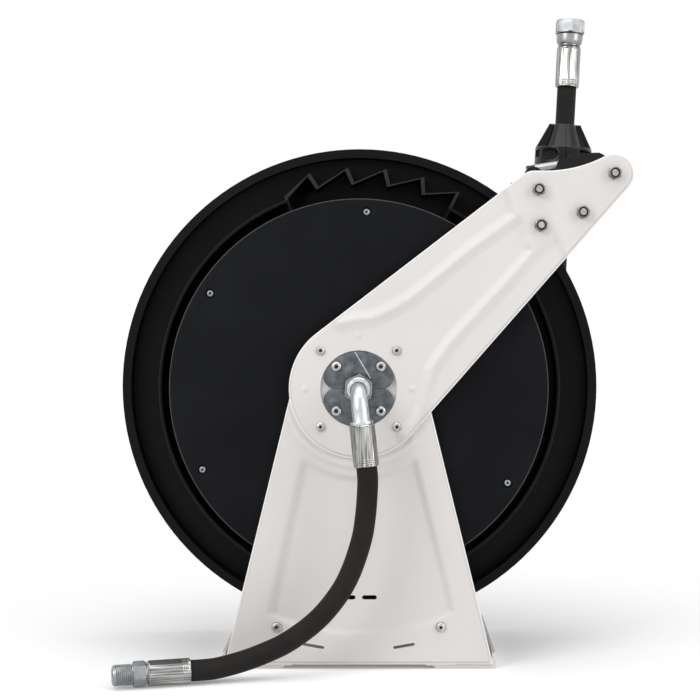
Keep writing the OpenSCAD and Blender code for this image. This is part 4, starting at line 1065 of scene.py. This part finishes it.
swivel_hex = hexagon(30, 28)
inner_thread = thread(10.9, HALF_INCH_PITCH, 0.5)
SWIVEL_RINGS = [
    (8.1, 0), (least(swivel_hex, 14.6), 0), (least(swivel_hex, 15.9), 0.8), (swivel_hex, 1.5),
    (swivel_hex, 12.5), (least(swivel_hex, 16.3), 13.3), (least(swivel_hex, 14.7), 14.6),
    (10.9, 14.6), (10.3, 14.0), *[(inner_thread, 14.0 - 0.3 * i) for i in range(1, 25)],
    (10.3, 6.4), (9.7, 6.4), (9.7, 3), (8.1, 3)]
bored_piece("swivel_nut_chamfered", hose_foot + hose_axis * SWIVEL_AT, hose_axis, SWIVEL_RINGS,
            nut_zinc, "swivel_nut", body="swivel_nut", n=144)

fit_hex = hexagon(22, 20)
outer_thread = thread(10.45, HALF_INCH_PITCH, 0.85)
FITTING_RINGS = [
    (6, 2), (8, 2), (8, 40.3), (9.2, 40.5), (9.2, 42), (least(fit_hex, 10.8), 42),
    (least(fit_hex, 11.9), 42.9), (fit_hex, 43.5), (fit_hex, 53.2), (least(fit_hex, 11.9), 53.9),
    (least(fit_hex, 10.9), 54.6), (9.3, 54.6), (9.3, 56.0),
    *[(outer_thread, 56.0 + 0.3 * i) for i in range(1, 55)], (9.4, 73), (8.6, 74), (6.6, 74),
    (6, 73.2)]
bored_piece("inlet_fitting_threaded", fit_foot, fit_axis, FITTING_RINGS, nut_zinc,
            "inlet_fitting", side=UPRIGHT)

# The elbow's own tube, with a swaged collar where it leaves the axle
elbow = eased("inlet_elbow", width=0.0003, angle=40)
add_turned(elbow, place=at(0, -7, 0), axis=FORWARD, closed=True, rings=[
    (8.2, -0.3), (11.6, -0.3), (11.7, 0.7), (11.1, 1.3), (10.2, 1.5), (9.9, 0.9), (9.6, 0.9),
    (9.6, 2.4), (9.1, 3.1), (8.2, 3.3)])
smooth(elbow, 32)
dress(elbow, polished_zinc, "frame")
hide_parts("inlet_elbow")

# A chamfered nose on the axle's hexagon, in place of the plain one
axle = eased("axle")
cut(axle, prism("nose", [arc(0, 0, 25, 0, 350, 10)], FRONT - 0.02, FRONT + 0.0055))
axle_hex = hexagon(27, 25)
add_turned(axle, place=at(0, 7, 0), axis=FORWARD, n=96, closed=True, rings=[
    (8.6, 1.5), (axle_hex, 1.5), (axle_hex, 12.3), (least(axle_hex, 15.2), 13.1),
    (least(axle_hex, 14.3), 14), (12.6, 14), (12.3, 13.4), (11.8, 13.4), (11.6, 14), (8.6, 14)])
smooth(axle, 30)
dress(axle, bright_zinc, "frame")
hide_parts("axle")


# ---------------------------------------------------------------- hoses

LEAD_TURN = 305  # degrees of the drum that the lead goes round before it leaves
LEAD_STEPS = 182
LEAD_STOPS = (0.03, 0.06, 0.1, 0.15, 0.2, 0.26, 0.3, 0.325, 0.338)  # along its straight run

lead = []
for i in range(LEAD_STEPS + 1):
    a = math.radians(LEAD_TURN * (i / LEAD_STEPS - 1)) - LEAN
    lead.append(Vector((COIL_R * math.cos(a), FRONT + D_LEAD, HUB + COIL_R * math.sin(a))))
lead += [hose_foot + hose_axis * t for t in LEAD_STOPS]
hose_lead = tube("hose_lead_wrapped", lead, HOSE_R, HOSE_SIDES)
dress(hose_lead, hose_wrapped, "frame")
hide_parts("hose_lead")


def coil_profile(upper, steps=12):
    """Radius and depth round the wound hose: a half round for each turn that shows."""
    gap = 0.0001
    profile = [(CORE_R, D_WIND + gap)]
    for i in range(WRAPS):
        r, d = COIL_R if i in upper else UNDER_R, D_WIND + PITCH * (i + 0.5)
        for s in range(steps + 1):
            a = math.pi * (1 - s / steps)
            profile.append((r + HOSE_R * math.sin(a), d + HOSE_R * math.cos(a)))
    profile.append((CORE_R, D_WIND + WRAPS * PITCH - gap))
    return profile


def coil(name, profile, n=240):
    """The wound hose: the profile turned round the drum axis, with a UV map along the turns."""
    count = len(profile)
    verts, faces = [], []
    for k in range(n):
        w = 2 * math.pi * k / n
        verts += [(r * math.cos(w), FRONT + d, HUB + r * math.sin(w)) for r, d in profile]
        here, after = k * count, (k + 1) % n * count
        for i in range(count):
            j = (i + 1) % count
            faces.append((here + i, after + i, after + j, here + j))
    o = new_mesh(name, verts, faces)
    uv = o.data.uv_layers.new(name="along")
    for p in o.data.polygons:
        ks, js = zip(*(divmod(v, count) for v in p.vertices))
        wraps, closes = max(ks) - min(ks) > 1, max(js) - min(js) > 1
        for loop, k, j in zip(p.loop_indices, ks, js):
            k = n if wraps and k == 0 else k
            j = count if closes and j == 0 else j
            uv.data[loop].uv = (j / 24, k / n * 2 * math.pi * COIL_R)
    recalculate(o)
    return smooth(o, 60)


wound = coil("wound_hose_turns", coil_profile(upper=(2, 3, 4)))
dress(wound, hose_wrapped, "drum")
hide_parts("wound_hose")


# ---------------------------------------------------------------- stopper

STOP_AT = 0.2328  # along the lead's straight run
STOP_H = 59.5
STOP_R = 30.5
PARTING = 0.15  # half the gap between the halves
STOP_RINGS = [
    (10.6, 0), (STOP_R - 1.2, 0), (STOP_R, 1.2), (STOP_R, 32.2), (29.6, 33.4), (22.4, 33.8),
    (21.0, 35.0), (12.7, 58.5), (11.8, STOP_H), (10.6, STOP_H)]
RIB = [(15, 33), (30.2, 33), (17.6, 57.6), (16.9, STOP_H), (11.2, STOP_H), (12.2, 50)]
RIB_SLOT = [(25.2, 36.6), (21.4, 36.6), (12.9, 57.2), (15.4, 57.2)]
BOSS_RINGS = [(3.1, -0.5), (4.7, -0.5), (4.7, 1.5), (4.3, 1.9), (3.5, 1.9), (3.1, 1.5)]

stop_place = Matrix(((math.cos(LEAN), 0, hose_axis.x, 0), (0, 1, 0, 0),
                     (-math.sin(LEAN), 0, hose_axis.z, 0), (0, 0, 0, 1)))
stop_place.translation = hose_foot + hose_axis * STOP_AT


def tool(loop, y0, y1):
    """A cutter or a rib drawn in X and Z round the hose, in millimetres, from y0 to y1."""
    o = prism("tool", [loop], y0 / 1000, y1 / 1000)
    o.location.z = -HUB
    return settle(o)


def box_loop(x0, x1, z0, z1):
    return [(x0, z0), (x1, z0), (x1, z1), (x0, z1)]


def ellipse(cx, cz, rx, rz, n=32):
    turns = (2 * math.pi * i / n for i in range(n))
    return [(cx + rx * math.cos(a), cz + rz * math.sin(a)) for a in turns]


# What is cut out of each half's base ring, or added to it, in front and behind:
# outline, least and greatest depth from the hose's middle
LEFT_WORK = [(ellipse(-16.9, 24.4, 8.5, 6.2), 18, 45, "DIFFERENCE"),
             (box_loop(-30.1, -26.2, 22, 29.6), 4, 45, "DIFFERENCE"),
             (box_loop(-22, -0.1, 4, 14), 23, 45, "DIFFERENCE")]
RIGHT_WORK = [(box_loop(13.6, 27.8, 20.5, 30), 12, 45, "DIFFERENCE"),
              (box_loop(PARTING, 12.6, 11, 31), 20, 31.8, "UNION")]


def stopper_half(s, name, work):
    """One half: the bored cone on its base ring, a slotted side rib, and windows in the ring."""
    bm = bmesh.new()
    turned(bm, Vector((0, 0, 0)), UPRIGHT, STOP_RINGS, n=96, closed=True)
    o = from_bmesh(name, bm)
    cut(o, tool(box_loop(s * PARTING, s * 45, -5, 70), -45, 45), "INTERSECT")
    cut(o, tool([(s * x, z) for x, z in RIB], -3.2, 3.2), "UNION")
    for m in (-1, 1):
        cut(o, tool([(s * x, z) for x, z in RIB_SLOT], *sorted((m, m * 6))))
        for loop, near, far, operation in work:
            cut(o, tool(loop, *sorted((m * near, m * far))), operation)
    if s > 0:
        for m in (-1, 1):
            add_turned(o, place=Vector((0.0056, m * 0.031, 0.0188)), axis=(0, m, 0), n=32,
                       closed=True, rings=BOSS_RINGS)
    bevel(o, 0.0005, 2, 34)
    o.matrix_world = stop_place
    settle(o)
    smooth(o, 34)
    return dress(o, gloss_plastic, "frame")


for s, side, work in ((-1, "left", LEFT_WORK), (1, "right", RIGHT_WORK)):
    half = stopper_half(s, "stopper_" + side + "_ribbed", work)
    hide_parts("stopper_" + side + "_half")
